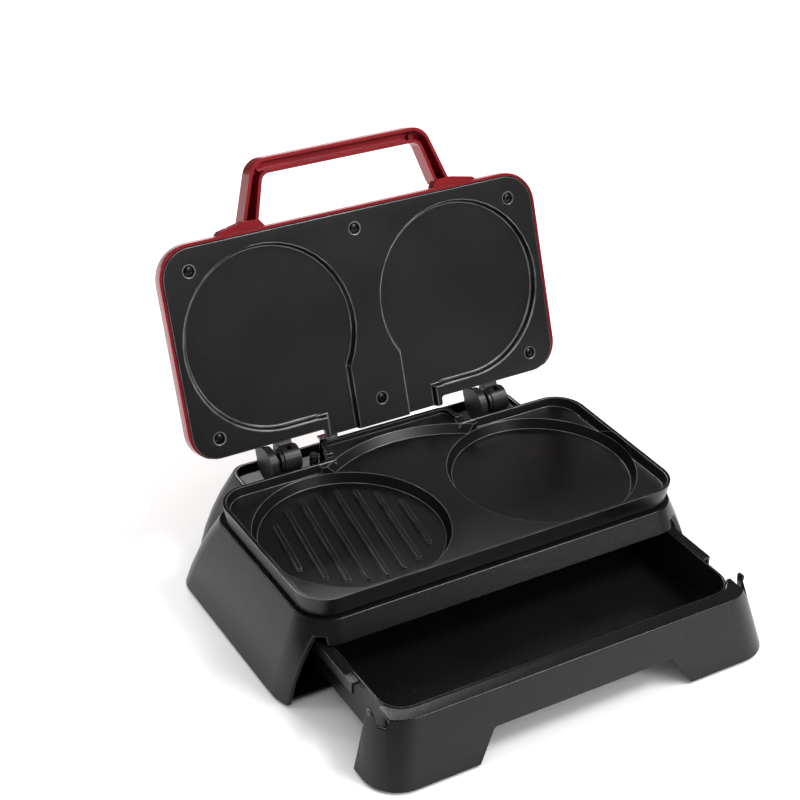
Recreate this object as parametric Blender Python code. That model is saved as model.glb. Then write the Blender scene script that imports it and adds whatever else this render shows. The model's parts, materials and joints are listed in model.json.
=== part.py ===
"""Electric breakfast maker: a two-pan omelette maker with a hinged lid and a bread drawer below.

Metres, +Z up, +X to the user's right, -Y towards the user. The lid stands open and the drawer is
pulled out. Heights of the base are measured from the table, and the lid is drawn closed in the frame
of its hinge line, which then turns it open.
"""

import math

import bmesh
import bpy
from mathutils import Vector

MM = 0.001

# Clearances and counts that every piece shares
GAP = 0.3 * MM
CUT = 30 * MM
CORNER_STEPS = 8
SMALL_CORNER_STEPS = 2
ROUND_SIDES = 24
PAN_SIDES = 48
SMOOTH_ANGLE = math.radians(35)

# Height of the flat land around the pans, which the base and the plate are built from
LAND_Z = 68 * MM

# Lower plate: the two round pans, the recess round them and the raised rim
PAN_RADIUS = 65 * MM
PAN_TO_MIDDLE = 9 * MM
PAN_CENTRE_X = PAN_RADIUS + PAN_TO_MIDDLE
PAN_WALL_RUN = 3.5 * MM
PAN_FLOOR_RADIUS = PAN_RADIUS - PAN_WALL_RUN
PAN_DEPTH = 6.5 * MM
PAN_OVER_RECESS = 3 * MM
PAN_TO_RECESS_FRONT = 1 * MM
BOWL_WALL = 2.4 * MM
RIM_THICKNESS = 3 * MM
RIM_HEIGHT = 6 * MM
RECESS_TO_PLATE_EDGE = 4 * MM
RECESS_HALF_WIDTH = PAN_CENTRE_X + PAN_RADIUS - PAN_OVER_RECESS
RECESS_HALF_DEPTH = PAN_RADIUS + PAN_TO_RECESS_FRONT
RECESS_CORNER = 17 * MM
RECESS_SLOPE = 3.2 * MM
RECESS_END_SLOPE = 2 * MM
PLATE_HALF_WIDTH = PAN_CENTRE_X + PAN_RADIUS + RIM_THICKNESS
PLATE_FRONT = RECESS_HALF_DEPTH + RECESS_TO_PLATE_EDGE
PLATE_BACK = RECESS_HALF_DEPTH + RECESS_TO_PLATE_EDGE
PLATE_CORNER = 22 * MM
PLATE_WALL = 2.5 * MM
SKIRT_DROP = 7.8 * MM
SKIRT_TAPER = 3.2 * MM
SKIRT_WALL = 6 * MM
BULGE_HALF_WIDTH = 52 * MM
BULGE_REACH = 19.3 * MM
BULGE_BACK = PLATE_BACK + BULGE_REACH
BULGE_CORNER = 8 * MM
BULGE_RIM_START = 2 * MM
BULGE_FOOT = PLATE_BACK + BULGE_RIM_START
BULGE_RIM_HEIGHT = 9 * MM
SHELF_HEIGHT = 5.5 * MM
SHELF_OVERHANG = 10 * MM
SHELF_HALF_WIDTH = BULGE_HALF_WIDTH + SHELF_OVERHANG
SHELF_INTO_RECESS = 16 * MM
SHELF_FRONT = RECESS_HALF_DEPTH - SHELF_INTO_RECESS
ARC_RADIUS = 101 * MM
ARC_BEHIND_RECESS = 10.7 * MM
ARC_CREST = RECESS_HALF_DEPTH + ARC_BEHIND_RECESS
ARC_SLOPE = 5 * MM
ARC_HALF_ANGLE = math.radians(50)
ARC_STEPS = 14
RIB_PITCH = 12.6 * MM
RIB_WIDTH = 3.2 * MM
RIB_HEIGHT = 2 * MM
RIB_TO_PAN_WALL = 10.5 * MM
RIB_REACH = PAN_FLOOR_RADIUS - RIB_TO_PAN_WALL
RIB_COUNT = 2 * int(RIB_REACH / RIB_PITCH)
RIB_TURN = math.radians(8.8)
PLATE_BOSS_RADIUS = 5 * MM
PLATE_BOSS_DROP = 6 * MM
STRAP_BOSS_RADIUS = 4 * MM

# Base shell
TOP_BELOW_LAND = 9.5 * MM
SHELL_BOTTOM_Z = 1.5 * MM
SHELL_WALL = 2.6 * MM
SHELL_TOP_WALL = 2.5 * MM
PLATE_OVER_SHELL = 0.5 * MM
SHELL_BEHIND_PLATE = 2 * MM
SHELL_HALF_WIDTH = PLATE_HALF_WIDTH - PLATE_OVER_SHELL
SHELL_FRONT = PLATE_FRONT
SHELL_BACK = PLATE_BACK + SHELL_BEHIND_PLATE
SHELL_FLARE = 18.5 * MM
SHELL_SWELL = 1.8 * MM
SHELL_TOP_CORNER = 22 * MM
SHELL_BOTTOM_CORNER = 38 * MM
SHELL_BACK_CORNER = 18 * MM
SHELL_INNER_CORNER = 5 * MM
BLOCK_TOP_CORNER = 12 * MM
BLOCK_BOTTOM_CORNER = 22 * MM
LEVEL_SHARES = (0, 0.25, 0.5, 0.75, 1)
SHELL_OVER_DECK = 27 * MM
DECK_DEPTH = 37.5 * MM
DECK_STEP = 3 * MM
DECK_HALF_WIDTH = SHELL_HALF_WIDTH - SHELL_OVER_DECK
DECK_BACK = SHELL_BACK + DECK_DEPTH
DECK_FRONT = SHELL_BACK + DECK_STEP
DECK_BELOW_LAND = 8.5 * MM
LIP_BELOW_LAND = 4 * MM
LIP_WIDTH = 2.5 * MM
OPENING_SIDE_LEDGE = 17.5 * MM
OPENING_END_LEDGE = 16 * MM
OPENING_HALF_WIDTH = SHELL_HALF_WIDTH - OPENING_SIDE_LEDGE
OPENING_FRONT = SHELL_FRONT - OPENING_END_LEDGE
OPENING_BACK = SHELL_BACK - OPENING_END_LEDGE
OPENING_CORNER = 12 * MM
SIDE_SET_BACK = 3 * MM
SIDE_FRONT = SHELL_FRONT - SIDE_SET_BACK
LINTEL_BELOW_LAND = 24 * MM
NOTCH_BELOW_LAND = 19 * MM
NOTCH_TO_SHELL_SIDE = 10.5 * MM
NOTCH_HALF_WIDTH = SHELL_HALF_WIDTH - NOTCH_TO_SHELL_SIDE
BOSS_TO_SHELL_SIDE = 16 * MM
BOSS_TO_SHELL_FRONT = 15 * MM
PLATE_BOSS_X = SHELL_HALF_WIDTH - BOSS_TO_SHELL_SIDE
PLATE_BOSS_Y = SHELL_FRONT - BOSS_TO_SHELL_FRONT

# Bottom cover, feet and their screws
COVER_Z = 3 * MM
COVER_THICKNESS = 2 * MM
COVER_SET_BACK = 1 * MM
COVER_FRONT = SIDE_FRONT - COVER_SET_BACK
POST_RADIUS = 4.5 * MM
FRONT_POST_OUT = 6.5 * MM
FRONT_POST_BEHIND = 18 * MM
REAR_POST_OUT = 3.5 * MM
REAR_POST_AHEAD = 13.5 * MM
POST_PLACES = (
    (SHELL_HALF_WIDTH + FRONT_POST_OUT, FRONT_POST_BEHIND - SHELL_FRONT),
    (DECK_HALF_WIDTH + REAR_POST_OUT, DECK_BACK - REAR_POST_AHEAD),
)
FRONT_FOOT_IN = 3.5 * MM
FRONT_FOOT_BEHIND = 30 * MM
REAR_FOOT_IN = 10.5 * MM
REAR_FOOT_AHEAD = 5.5 * MM
FOOT_PLACES = (
    (SHELL_HALF_WIDTH - FRONT_FOOT_IN, FRONT_FOOT_BEHIND - SHELL_FRONT),
    (DECK_HALF_WIDTH - REAR_FOOT_IN, DECK_BACK - REAR_FOOT_AHEAD),
)
FOOT_RADIUS = 8 * MM
FOOT_TAPER = 1 * MM
VENT_COUNT = 8
VENT_PITCH = 18 * MM
VENT_WIDTH = 4 * MM
VENT_LENGTH = 60 * MM
VENT_CORNER = 1.9 * MM

# Screws
SCREW_RADIUS = 1.7 * MM
SCREW_HEAD_RADIUS = 3.3 * MM
SCREW_HEAD_HEIGHT = 1.7 * MM
SCREW_CROWN_SHARE = 0.8
SCREW_SIDES = 12
SCREW_GRIP = 9 * MM
PLATE_SCREW_GRIP = 4.5 * MM
CROSS_LENGTH = 4.4 * MM
CROSS_WIDTH = 1 * MM
CROSS_DEPTH = 1.1 * MM

# Drawer guides
GUIDE_BEHIND_SHELL_FRONT = 24 * MM
GUIDE_AHEAD_OF_SHELL_BACK = 28 * MM
GUIDE_FRONT = SHELL_FRONT - GUIDE_BEHIND_SHELL_FRONT
GUIDE_BACK = SHELL_BACK - GUIDE_AHEAD_OF_SHELL_BACK
GUIDE_THICKNESS = 3.7 * MM
GUIDE_HEIGHT = 14 * MM

# Heating element, its straps, the liner and the small electrical pieces
TUBE_RADIUS = 3.3 * MM
TUBE_TO_PAN_EDGE = 21 * MM
TUBE_RING_RADIUS = PAN_RADIUS - TUBE_TO_PAN_EDGE
TUBE_RING_OPENING = math.radians(35)
TUBE_RING_STEPS = 15
TUBE_END_X = 10 * MM
TUBE_BEND_BACK = 4 * MM
TUBE_TAIL = 10 * MM
TUBE_BEND_Y = TUBE_RING_RADIUS - TUBE_BEND_BACK
TUBE_END_Y = TUBE_BEND_Y + TUBE_TAIL
STRAP_PAST_TUBE = 0.7 * MM
STRAP_LENGTH = 2 * (TUBE_RING_RADIUS + TUBE_RADIUS + STRAP_PAST_TUBE)
STRAP_WIDTH = 10 * MM
STRAP_THICKNESS = 1 * MM
LINER_SHEET = 1 * MM
LINER_FLANGE = 1.5 * MM
LINER_BOTTOM_BELOW_LAND = 22.5 * MM
THERMOSTAT_RADIUS = 6.5 * MM
THERMOSTAT_HEIGHT = 6 * MM
THERMOSTAT_FOOT_SHARE = 0.8
THERMOSTAT_Y = 17 * MM
FUSE_RADIUS = 1.8 * MM
FUSE_LENGTH = 16 * MM
FUSE_Y = 30 * MM
TERMINAL_SIZE = (34 * MM, 12 * MM, 10 * MM)
TERMINAL_X = 40 * MM
TERMINAL_TO_DECK_BACK = 17.5 * MM
TERMINAL_Y = DECK_BACK - TERMINAL_TO_DECK_BACK
GLAND_X = -80 * MM
GLAND_Z = 22 * MM
GLAND_RADIUS = 5.5 * MM
GLAND_FLANGE_RADIUS = 8.5 * MM
GLAND_FLANGE = 2 * MM
GLAND_BORE_RADIUS = 3.4 * MM
GLAND_DEPTH = 8 * MM

# Hinge line and what stands on it
HINGE_BEHIND_SHELL = 11.7 * MM
HINGE_Y = SHELL_BACK + HINGE_BEHIND_SHELL
HINGE_ABOVE_LAND = 6.7 * MM
OPEN_ANGLE = math.radians(110.2)
HINGE_X = 83 * MM
HINGE_CENTRES = (("left", -HINGE_X), ("right", HINGE_X))
DISC_RADIUS = 12 * MM
DISC_START = -12.5 * MM
DISC_END = -7 * MM
NECK_RADIUS = 6 * MM
NECK_END = -3.3 * MM
COLLAR_RADIUS = 8.5 * MM
COLLAR_START = NECK_END + GAP
BARREL_RADIUS = 9.5 * MM
BARREL_START = -0.5 * MM
BARREL_END = 12 * MM
BARREL_SLOT = 3.5 * MM
BARREL_SLOT_DEPTH = 6 * MM
BARREL_SLOT_START = 4 * MM
PIN_RADIUS = 3 * MM
PIN_INSET = 1.5 * MM
BRACKET_FRONT_AHEAD = 7.7 * MM
BRACKET_BACK_BEHIND = 14.3 * MM
BRACKET_NECK_AHEAD = 5.2 * MM
BRACKET_NOSE_BEHIND = 6.9 * MM
BRACKET_TAIL_BEHIND = 12.3 * MM
BRACKET_BODY_INSET = 0.625 * MM
BRACKET_FRONT_Y = HINGE_Y - BRACKET_FRONT_AHEAD
BRACKET_BACK_Y = HINGE_Y + BRACKET_BACK_BEHIND
BRACKET_NECK_Y = HINGE_Y - BRACKET_NECK_AHEAD
BRACKET_NOSE_Y = HINGE_Y + BRACKET_NOSE_BEHIND
BRACKET_TAIL_Y = HINGE_Y + BRACKET_TAIL_BEHIND
ARM_BACK = -4 * MM
ARM_FRONT = -35 * MM
ARM_HEIGHT = 6 * MM
ARM_SLOT_FRONT = 21 * MM
SLEEVE_TO_BULGE = 5 * MM
SLEEVE_BEHIND_HINGE = 1.3 * MM
SLEEVE_X = -BULGE_HALF_WIDTH - SLEEVE_TO_BULGE
SLEEVE_Y = HINGE_Y + SLEEVE_BEHIND_HINGE
SLEEVE_RADIUS = 3.3 * MM
SLEEVE_GROOVE = 0.7 * MM
SLEEVE_RINGS = 4
SLEEVE_RING_HEIGHT = 3 * MM
SLEEVE_RING_SHARES = (0.6, 0.7, 0.9)
TAB_TO_BULGE_SIDE = 2 * MM
TAB_WIDTH = 14 * MM
TAB_START_X = TAB_TO_BULGE_SIDE - BULGE_HALF_WIDTH
TAB_END_X = TAB_START_X + TAB_WIDTH
TAB_ABOVE_LAND = 10.5 * MM
TAB_SHEET = 1.2 * MM
TAB_REACH = 5 * MM

# Lid, drawn closed from the hinge line; its front lies at -Y
LID_OVER_PLATE_SIDE = 0.5 * MM
LID_OVER_PLATE_FRONT = 1.4 * MM
LID_BACK_OVER_BULGE = 0.8 * MM
LID_PLATE_HALF_WIDTH = PLATE_HALF_WIDTH + LID_OVER_PLATE_SIDE
LID_PLATE_FRONT = HINGE_Y + PLATE_FRONT + LID_OVER_PLATE_FRONT
LID_PLATE_BACK = HINGE_Y - BULGE_FOOT + LID_BACK_OVER_BULGE
LID_PLATE_FRONT_CORNER = 21 * MM
LID_PLATE_BACK_CORNER = 18 * MM
LID_PLATE_THICKNESS = 2.5 * MM
LID_PLATE_EDGE_SHARE = 0.25
TONGUE_IN_BULGE = 5 * MM
TONGUE_HALF_WIDTH = BULGE_HALF_WIDTH - TONGUE_IN_BULGE
TONGUE_REACH = 6.5 * MM
TONGUE_END = LID_PLATE_BACK - TONGUE_REACH
TONGUE_CORNER = 2 * MM
DISH_IN_PAN = 1.3 * MM
DISH_RADIUS = PAN_RADIUS - DISH_IN_PAN
DISH_DEPTH = 4 * MM
DISH_WALL = 2 * MM
DISH_SLOPE = 2 * MM
DISH_STEPS = 34
CHANNEL_INNER_X = 19.5 * MM
CHANNEL_TO_TONGUE_SIDE = 3.5 * MM
CHANNEL_OUTER_X = TONGUE_HALF_WIDTH - CHANNEL_TO_TONGUE_SIDE
LID_SCREW_TO_SIDE = 18.9 * MM
LID_SCREW_TO_BACK = 13.5 * MM
LID_SCREW_TO_FRONT = 15.4 * MM
LID_MIDDLE_SCREW_TO_BACK = 10.7 * MM
LID_MIDDLE_SCREW_TO_FRONT = 12 * MM
LID_SCREW_X = LID_PLATE_HALF_WIDTH - LID_SCREW_TO_SIDE
LID_SCREW_BACK = LID_PLATE_BACK + LID_SCREW_TO_BACK
LID_SCREW_FRONT = LID_PLATE_FRONT - LID_SCREW_TO_FRONT
LID_MIDDLE_SCREW_BACK = LID_PLATE_BACK + LID_MIDDLE_SCREW_TO_BACK
LID_MIDDLE_SCREW_FRONT = LID_PLATE_FRONT - LID_MIDDLE_SCREW_TO_FRONT
LID_SCREW_HEAD = 3.9 * MM
LID_SCREW_SINK = 2 * MM
LID_SCREW_LENGTH = 11 * MM
LID_BOSS_RADIUS = 4 * MM
LID_WALL = 2.2 * MM
LID_RIM_ABOVE_FACE = 0.2 * MM
DOME = (
    (0 * MM, 8 * MM),
    (3 * MM, 13 * MM),
    (10 * MM, 20 * MM),
    (24 * MM, 25.5 * MM),
    (45 * MM, 27.5 * MM),
)
DOME_LEAST_CORNER = 6 * MM
REFLECTOR_TO_PLATE_SIDE = 24.5 * MM
REFLECTOR_TO_PLATE_BACK = 31.5 * MM
REFLECTOR_TO_PLATE_FRONT = 23.1 * MM
REFLECTOR_HALF_WIDTH = LID_PLATE_HALF_WIDTH - REFLECTOR_TO_PLATE_SIDE
REFLECTOR_BACK = LID_PLATE_BACK + REFLECTOR_TO_PLATE_BACK
REFLECTOR_FRONT = LID_PLATE_FRONT - REFLECTOR_TO_PLATE_FRONT
REFLECTOR_CORNER = 20 * MM
REFLECTOR_SHEET = 0.8 * MM
REFLECTOR_ABOVE_TUBE = 0.8 * MM
REFLECTOR_LEG_RADIUS = 3 * MM
REFLECTOR_REAR_LEG_IN = 16 * MM
REFLECTOR_FRONT_LEG_IN = 10 * MM
REFLECTOR_LEGS = (REFLECTOR_BACK + REFLECTOR_REAR_LEG_IN, REFLECTOR_FRONT - REFLECTOR_FRONT_LEG_IN)
LENS_X = 9 * MM
LENS_TO_LID_FRONT = 48.1 * MM
LENS_Y = LENS_TO_LID_FRONT - LID_PLATE_FRONT
LENS_RADIUS = 3 * MM
LENS_FLANGE_RADIUS = 4.5 * MM
LENS_FLANGE = 1.5 * MM
LENS_STAND = 0.8 * MM

# Handle, in the lid's closed frame
HANDLE_CLEAR_OF_LID = 1.9 * MM
HANDLE_REACH = 42.5 * MM
HANDLE_BAR = 10.5 * MM
HANDLE_FOOT_Y = LID_PLATE_FRONT + GAP + LID_WALL + HANDLE_CLEAR_OF_LID
HANDLE_TOP_Y = HANDLE_FOOT_Y + HANDLE_REACH
HANDLE_FOOT_X = 80.5 * MM
HANDLE_LEAN = 15 * MM
HANDLE_TOP_X = HANDLE_FOOT_X - HANDLE_LEAN
HANDLE_CORNER = 14 * MM
LOOP_TO_FOOT = 11.8 * MM
LOOP_TO_TOP = 6 * MM
LOOP_FOOT_X = HANDLE_FOOT_X - LOOP_TO_FOOT
LOOP_TOP_X = HANDLE_TOP_X - LOOP_TO_TOP
LOOP_TOP_Y = HANDLE_TOP_Y - HANDLE_BAR
LOOP_CORNER = 6 * MM
HANDLE_SINK = 2 * MM
HANDLE_DEPTH = 12.5 * MM
HANDLE_WALL = 2.3 * MM
HANDLE_BACK_WALL = 3 * MM
HANDLE_BOSS_IN_X = 7 * MM
HANDLE_BOSS_IN_Y = 6.8 * MM
HANDLE_BOSS_X = HANDLE_TOP_X - HANDLE_BOSS_IN_X
HANDLE_BOSS_Y = HANDLE_TOP_Y - HANDLE_BOSS_IN_Y
HANDLE_BOSS_RADIUS = 2.3 * MM
HANDLE_BOSS_HEIGHT = 2.5 * MM
FLANGE_PAST_HANDLE = 19.5 * MM
FLANGE_END_SLOPE = 2.5 * MM
FLANGE_IN_LOOP = 4.2 * MM
FLANGE_OUTER_X = HANDLE_FOOT_X + FLANGE_PAST_HANDLE
FLANGE_SHOULDER_X = FLANGE_OUTER_X - FLANGE_END_SLOPE
FLANGE_INNER_X = LOOP_FOOT_X - FLANGE_IN_LOOP
FLANGE_SHOULDER = 2.3 * MM
FLANGE_DEPTH = 5.6 * MM
FLANGE_HEIGHT = 7 * MM
HANDLE_SCREW_PAST_FOOT = 9.5 * MM
HANDLE_SCREW_X = HANDLE_FOOT_X + HANDLE_SCREW_PAST_FOOT
HANDLE_SCREW_Z = 5 * MM
HANDLE_SCREW_GRIP = 3.4 * MM
HANDLE_SCREW_HEAD_RADIUS = 2.4 * MM

# Drawer, drawn as far out as the photograph shows
DRAWER_TRAVEL = 68.2 * MM
DRAWER_GAP = 0.8 * MM
DRAWER_BELOW_LINTEL = 1 * MM
FACE_BACK = SIDE_FRONT + DRAWER_TRAVEL + DRAWER_GAP
FACE_TOP_DEPTH = 20 * MM
FACE_LEAN = 14 * MM
FACE_TOP_FRONT = FACE_BACK + FACE_TOP_DEPTH
FACE_FOOT_FRONT = FACE_TOP_FRONT + FACE_LEAN
FACE_IN_SHELL = 2 * MM
FACE_FLARE = 8 * MM
FACE_TOP_HALF_WIDTH = SHELL_HALF_WIDTH - FACE_IN_SHELL
FACE_FOOT_HALF_WIDTH = FACE_TOP_HALF_WIDTH + FACE_FLARE
FACE_CORNER = 24 * MM
FACE_WALL = 2.6 * MM
FLANGE_PLATE = 2.5 * MM
ARCH_TO_FOOT_SIDE = 68.5 * MM
ARCH_LEAN = 13 * MM
ARCH_FOOT_HALF_WIDTH = FACE_FOOT_HALF_WIDTH - ARCH_TO_FOOT_SIDE
ARCH_TOP_HALF_WIDTH = ARCH_FOOT_HALF_WIDTH - ARCH_LEAN
ARCH_TOP_Z = 20.5 * MM
ARCH_CORNER = 4 * MM
POCKET_START_IN = 8 * MM
POCKET_END_IN = 2.3 * MM
POCKET_START_X = FACE_TOP_HALF_WIDTH - POCKET_START_IN
POCKET_END_X = FACE_TOP_HALF_WIDTH - POCKET_END_IN
POCKET_LENGTH = 14 * MM
POCKET_DEPTH = 6 * MM
EAR_LENGTH = 5 * MM
EAR_HEIGHT = 2 * MM
TRAY_IN_NOTCH = 1.9 * MM
TRAY_HALF_WIDTH = NOTCH_HALF_WIDTH - TRAY_IN_NOTCH
TRAY_BEHIND_FACE = 9.7 * MM
TRAY_DEPTH = 144.3 * MM
TRAY_FRONT = FACE_TOP_FRONT - TRAY_BEHIND_FACE
TRAY_BACK = TRAY_FRONT - TRAY_DEPTH
TRAY_FRONT_CORNER = 17 * MM
TRAY_BACK_CORNER = 10 * MM
TRAY_BOTTOM_Z = 12 * MM
TRAY_WALL = 1.8 * MM
RAIL_WIDTH = 6.1 * MM
RAIL_BEHIND_TRAY = 35.3 * MM
RAIL_OUTER_X = TRAY_HALF_WIDTH + RAIL_WIDTH
RAIL_FRONT = TRAY_FRONT - RAIL_BEHIND_TRAY
RAIL_SHEET = 2 * MM
RAIL_DROP = 8 * MM
FACE_SCREW_TO_ARCH = 6 * MM
FACE_SCREW_X = ARCH_TOP_HALF_WIDTH - FACE_SCREW_TO_ARCH
FACE_SCREW_Z = 31 * MM
FACE_BOSS_RADIUS = 4 * MM

# Places that follow from the sizes above
BASE_TOP_Z = LAND_Z - TOP_BELOW_LAND
LIP_Z = LAND_Z - LIP_BELOW_LAND
DECK_Z = LAND_Z - DECK_BELOW_LAND
HINGE_Z = LAND_Z + HINGE_ABOVE_LAND
LINTEL_Z = LAND_Z - LINTEL_BELOW_LAND
PAN_FLOOR_Z = LAND_Z - PAN_DEPTH
BOWL_BOTTOM_Z = PAN_FLOOR_Z - PLATE_WALL
TUBE_Z = BOWL_BOTTOM_Z - GAP - TUBE_RADIUS
STRAP_TOP_Z = TUBE_Z - TUBE_RADIUS - GAP
LID_FACE_Z = RIM_HEIGHT + GAP - HINGE_ABOVE_LAND
LID_PLATE_TOP_Z = LID_FACE_Z + LID_PLATE_THICKNESS
LID_BUMP_TOP_Z = LID_PLATE_TOP_Z + DISH_DEPTH
LID_TUBE_Z = LID_BUMP_TOP_Z + GAP + TUBE_RADIUS
LID_SHELL_GROWTH = GAP + LID_WALL
LID_RIM_Z = LID_FACE_Z + LID_RIM_ABOVE_FACE
LID_FRONT = LID_PLATE_FRONT + LID_SHELL_GROWTH
LID_BACK = LID_PLATE_BACK - GAP
DRAWER_TOP_Z = LINTEL_Z - DRAWER_BELOW_LINTEL


def turned_out(y, z):
    """World place, before the centring, of a point of the closed lid's frame when the lid is open."""
    turn = -OPEN_ANGLE
    return (
        HINGE_Y + y * math.cos(turn) - z * math.sin(turn),
        HINGE_Z + y * math.sin(turn) + z * math.cos(turn),
    )


HANDLE_REAR_Z = LID_FACE_Z + HANDLE_SINK + HANDLE_DEPTH
MIDDLE_Y = (turned_out(-HANDLE_TOP_Y, HANDLE_REAR_Z)[0] - FACE_FOOT_FRONT) / 2

FINISHES = {
    "shell_black": ((0.018, 0.018, 0.019), 0.34, 0.0),
    "plate_coating": ((0.03, 0.03, 0.032), 0.42, 0.15),
    "lid_red": ((0.26, 0.006, 0.012), 0.2, 0.55),
    "hinge_black": ((0.015, 0.015, 0.016), 0.45, 0.0),
    "screw_black": ((0.02, 0.02, 0.02), 0.38, 0.8),
    "steel": ((0.55, 0.55, 0.56), 0.3, 1.0),
    "element_sheath": ((0.16, 0.16, 0.16), 0.5, 0.8),
    "rubber_black": ((0.02, 0.02, 0.02), 0.8, 0.0),
    "ceramic_white": ((0.8, 0.78, 0.74), 0.5, 0.0),
    "lens_red": ((0.6, 0.02, 0.02), 0.15, 0.0),
    "lens_green": ((0.02, 0.45, 0.08), 0.15, 0.0),
}


def clear_scene():
    for obj in list(bpy.data.objects):
        bpy.data.objects.remove(obj, do_unlink=True)


def make_finish(name):
    colour, roughness, metallic = FINISHES[name]
    material = bpy.data.materials.new(name)
    material.use_nodes = True
    shader = material.node_tree.nodes["Principled BSDF"]
    shader.inputs["Base Color"].default_value = (*colour, 1)
    shader.inputs["Roughness"].default_value = roughness
    shader.inputs["Metallic"].default_value = metallic
    return material


def make_empty(name, place, parent=None, turn_x=0):
    empty = bpy.data.objects.new(name, None)
    empty.location = place
    empty.rotation_euler = (turn_x, 0, 0)
    empty.parent = parent
    bpy.context.scene.collection.objects.link(empty)
    return empty


# Outlines and lofts


def offset_corners(corners, distance):
    """The counter-clockwise outline moved outwards by a distance, or inwards where it is negative."""
    moved = []
    for i, corner in enumerate(corners):
        here = Vector(corner)
        into = (here - Vector(corners[i - 1])).normalized()
        away = (Vector(corners[(i + 1) % len(corners)]) - here).normalized()
        normal_in = Vector((into.y, -into.x))
        normal_out = Vector((away.y, -away.x))
        moved.append(here + (normal_in + normal_out) * distance / (1 + normal_in.dot(normal_out)))
    return moved


def outline(corners, radii, height, steps=CORNER_STEPS):
    """Points of a closed outline whose corners are rounded, each by its own radius, at one height."""
    points = []
    for i, corner in enumerate(corners):
        here = Vector(corner)
        radius = radii[i]
        if radius == 0:
            points.append((here.x, here.y, height))
            continue
        to_last = (Vector(corners[i - 1]) - here).normalized()
        to_next = (Vector(corners[(i + 1) % len(corners)]) - here).normalized()
        half = to_last.angle(to_next) / 2
        centre = here + (to_last + to_next).normalized() * radius / math.sin(half)
        start = here + to_last * radius / math.tan(half) - centre
        end = here + to_next * radius / math.tan(half) - centre
        first = math.atan2(start.y, start.x)
        sweep = math.remainder(math.atan2(end.y, end.x) - first, math.tau)
        for step in range(steps + 1):
            angle = first + sweep * step / steps
            points.append((centre.x + radius * math.cos(angle), centre.y + radius * math.sin(angle), height))
    return points


def rectangle(x_min, x_max, y_min, y_max):
    return [(x_min, y_min), (x_max, y_min), (x_max, y_max), (x_min, y_max)]


def prism(corners, radii, low, high, growth=0, steps=CORNER_STEPS):
    """The two sections of an upright block with the outline's rounded corners."""
    return [outline(offset_corners(corners, growth), radii, height, steps) for height in (low, high)]


def block(x_min, x_max, y_min, y_max, low, high):
    return prism(rectangle(x_min, x_max, y_min, y_max), (0,) * 4, low, high)


def turned(centre, rings, sides=ROUND_SIDES):
    """Circles of (radius, height) about an upright line through the centre."""
    sections = []
    for radius, height in rings:
        turns = [math.tau * i / sides for i in range(sides)]
        sections.append(
            [(centre[0] + radius * math.cos(a), centre[1] + radius * math.sin(a), height) for a in turns]
        )
    return sections


def along_x(sections):
    """The same sections with their heights laid along X, and their outline in Y and Z."""
    return [[(height, u, v) for u, v, height in section] for section in sections]


def along_y(sections):
    """The same sections with their heights laid along Y, and their outline in Z and X."""
    return [[(v, height, u) for u, v, height in section] for section in sections]


def make_mesh(name, lofts):
    """One mesh of closed lofts, each a list of sections with the same number of points."""
    bm = bmesh.new()
    for sections in lofts:
        rings = [[bm.verts.new(point) for point in section] for section in sections]
        for lower, upper in zip(rings, rings[1:]):
            for i in range(len(lower)):
                j = (i + 1) % len(lower)
                bm.faces.new((lower[i], lower[j], upper[j], upper[i]))
        bm.faces.new(list(reversed(rings[0])))
        bm.faces.new(rings[-1])
    bmesh.ops.recalc_face_normals(bm, faces=bm.faces)
    mesh = bpy.data.meshes.new(name)
    bm.to_mesh(mesh)
    bm.free()
    mesh.shade_smooth()
    mesh.set_sharp_from_angle(angle=SMOOTH_ANGLE)
    return mesh


def piece(name, lofts, parent, finish):
    obj = bpy.data.objects.new(name, make_mesh(name, lofts))
    obj.parent = parent
    obj.data.materials.append(finish)
    bpy.context.scene.collection.objects.link(obj)
    return obj


def tool(name, lofts, parent):
    """A hidden solid that shapes a piece through its Boolean modifiers."""
    obj = bpy.data.objects.new(name, make_mesh(name, lofts))
    obj.parent = parent
    obj.hide_render = True
    obj.display_type = "WIRE"
    bpy.context.scene.collection.objects.link(obj)
    return obj


def shape(obj, operation, *others):
    for other in others:
        modifier = obj.modifiers.new(other.name, "BOOLEAN")
        modifier.operation = operation
        modifier.object = other
        modifier.solver = "EXACT"


def cut(obj, *others):
    shape(obj, "DIFFERENCE", *others)


def join(obj, *others):
    shape(obj, "UNION", *others)


def both_sides(places):
    """Each place at +X and at -X, with a name for the side."""
    return [(side, sign * x, y) for x, y in places for side, sign in (("right", 1), ("left", -1))]


def screw(name, place, head_z, tip_z, parent, finish, axis=None, head_radius=SCREW_HEAD_RADIUS):
    """A pan-head screw whose head starts at head_z and whose shaft ends at tip_z."""
    towards = 1 if tip_z > head_z else -1
    neck_z = head_z + towards * SCREW_HEAD_HEIGHT
    rings = [
        (head_radius * SCREW_CROWN_SHARE, head_z),
        (head_radius, head_z + towards * SCREW_HEAD_HEIGHT / 2),
        (head_radius, neck_z),
        (SCREW_RADIUS, neck_z),
        (SCREW_RADIUS, tip_z),
    ]
    sections = turned(place, rings, SCREW_SIDES)
    return piece(name, [axis(sections) if axis else sections], parent, finish)


def tube_path(centre_y, height, towards):
    """The element's route: in at one end, round one pan, across, round the other and out."""
    first = TUBE_RING_OPENING
    sweep = math.tau - 2 * first
    left = []
    for step in range(TUBE_RING_STEPS + 1):
        angle = first + sweep * step / TUBE_RING_STEPS
        left.append((-PAN_CENTRE_X + TUBE_RING_RADIUS * math.cos(angle), TUBE_RING_RADIUS * math.sin(angle)))
    left = [(-TUBE_END_X, TUBE_END_Y), (-TUBE_END_X, TUBE_BEND_Y)] + left
    right = [(-x, y) for x, y in reversed(left)]
    return [(x, centre_y + towards * y, height) for x, y in left + right]


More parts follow.
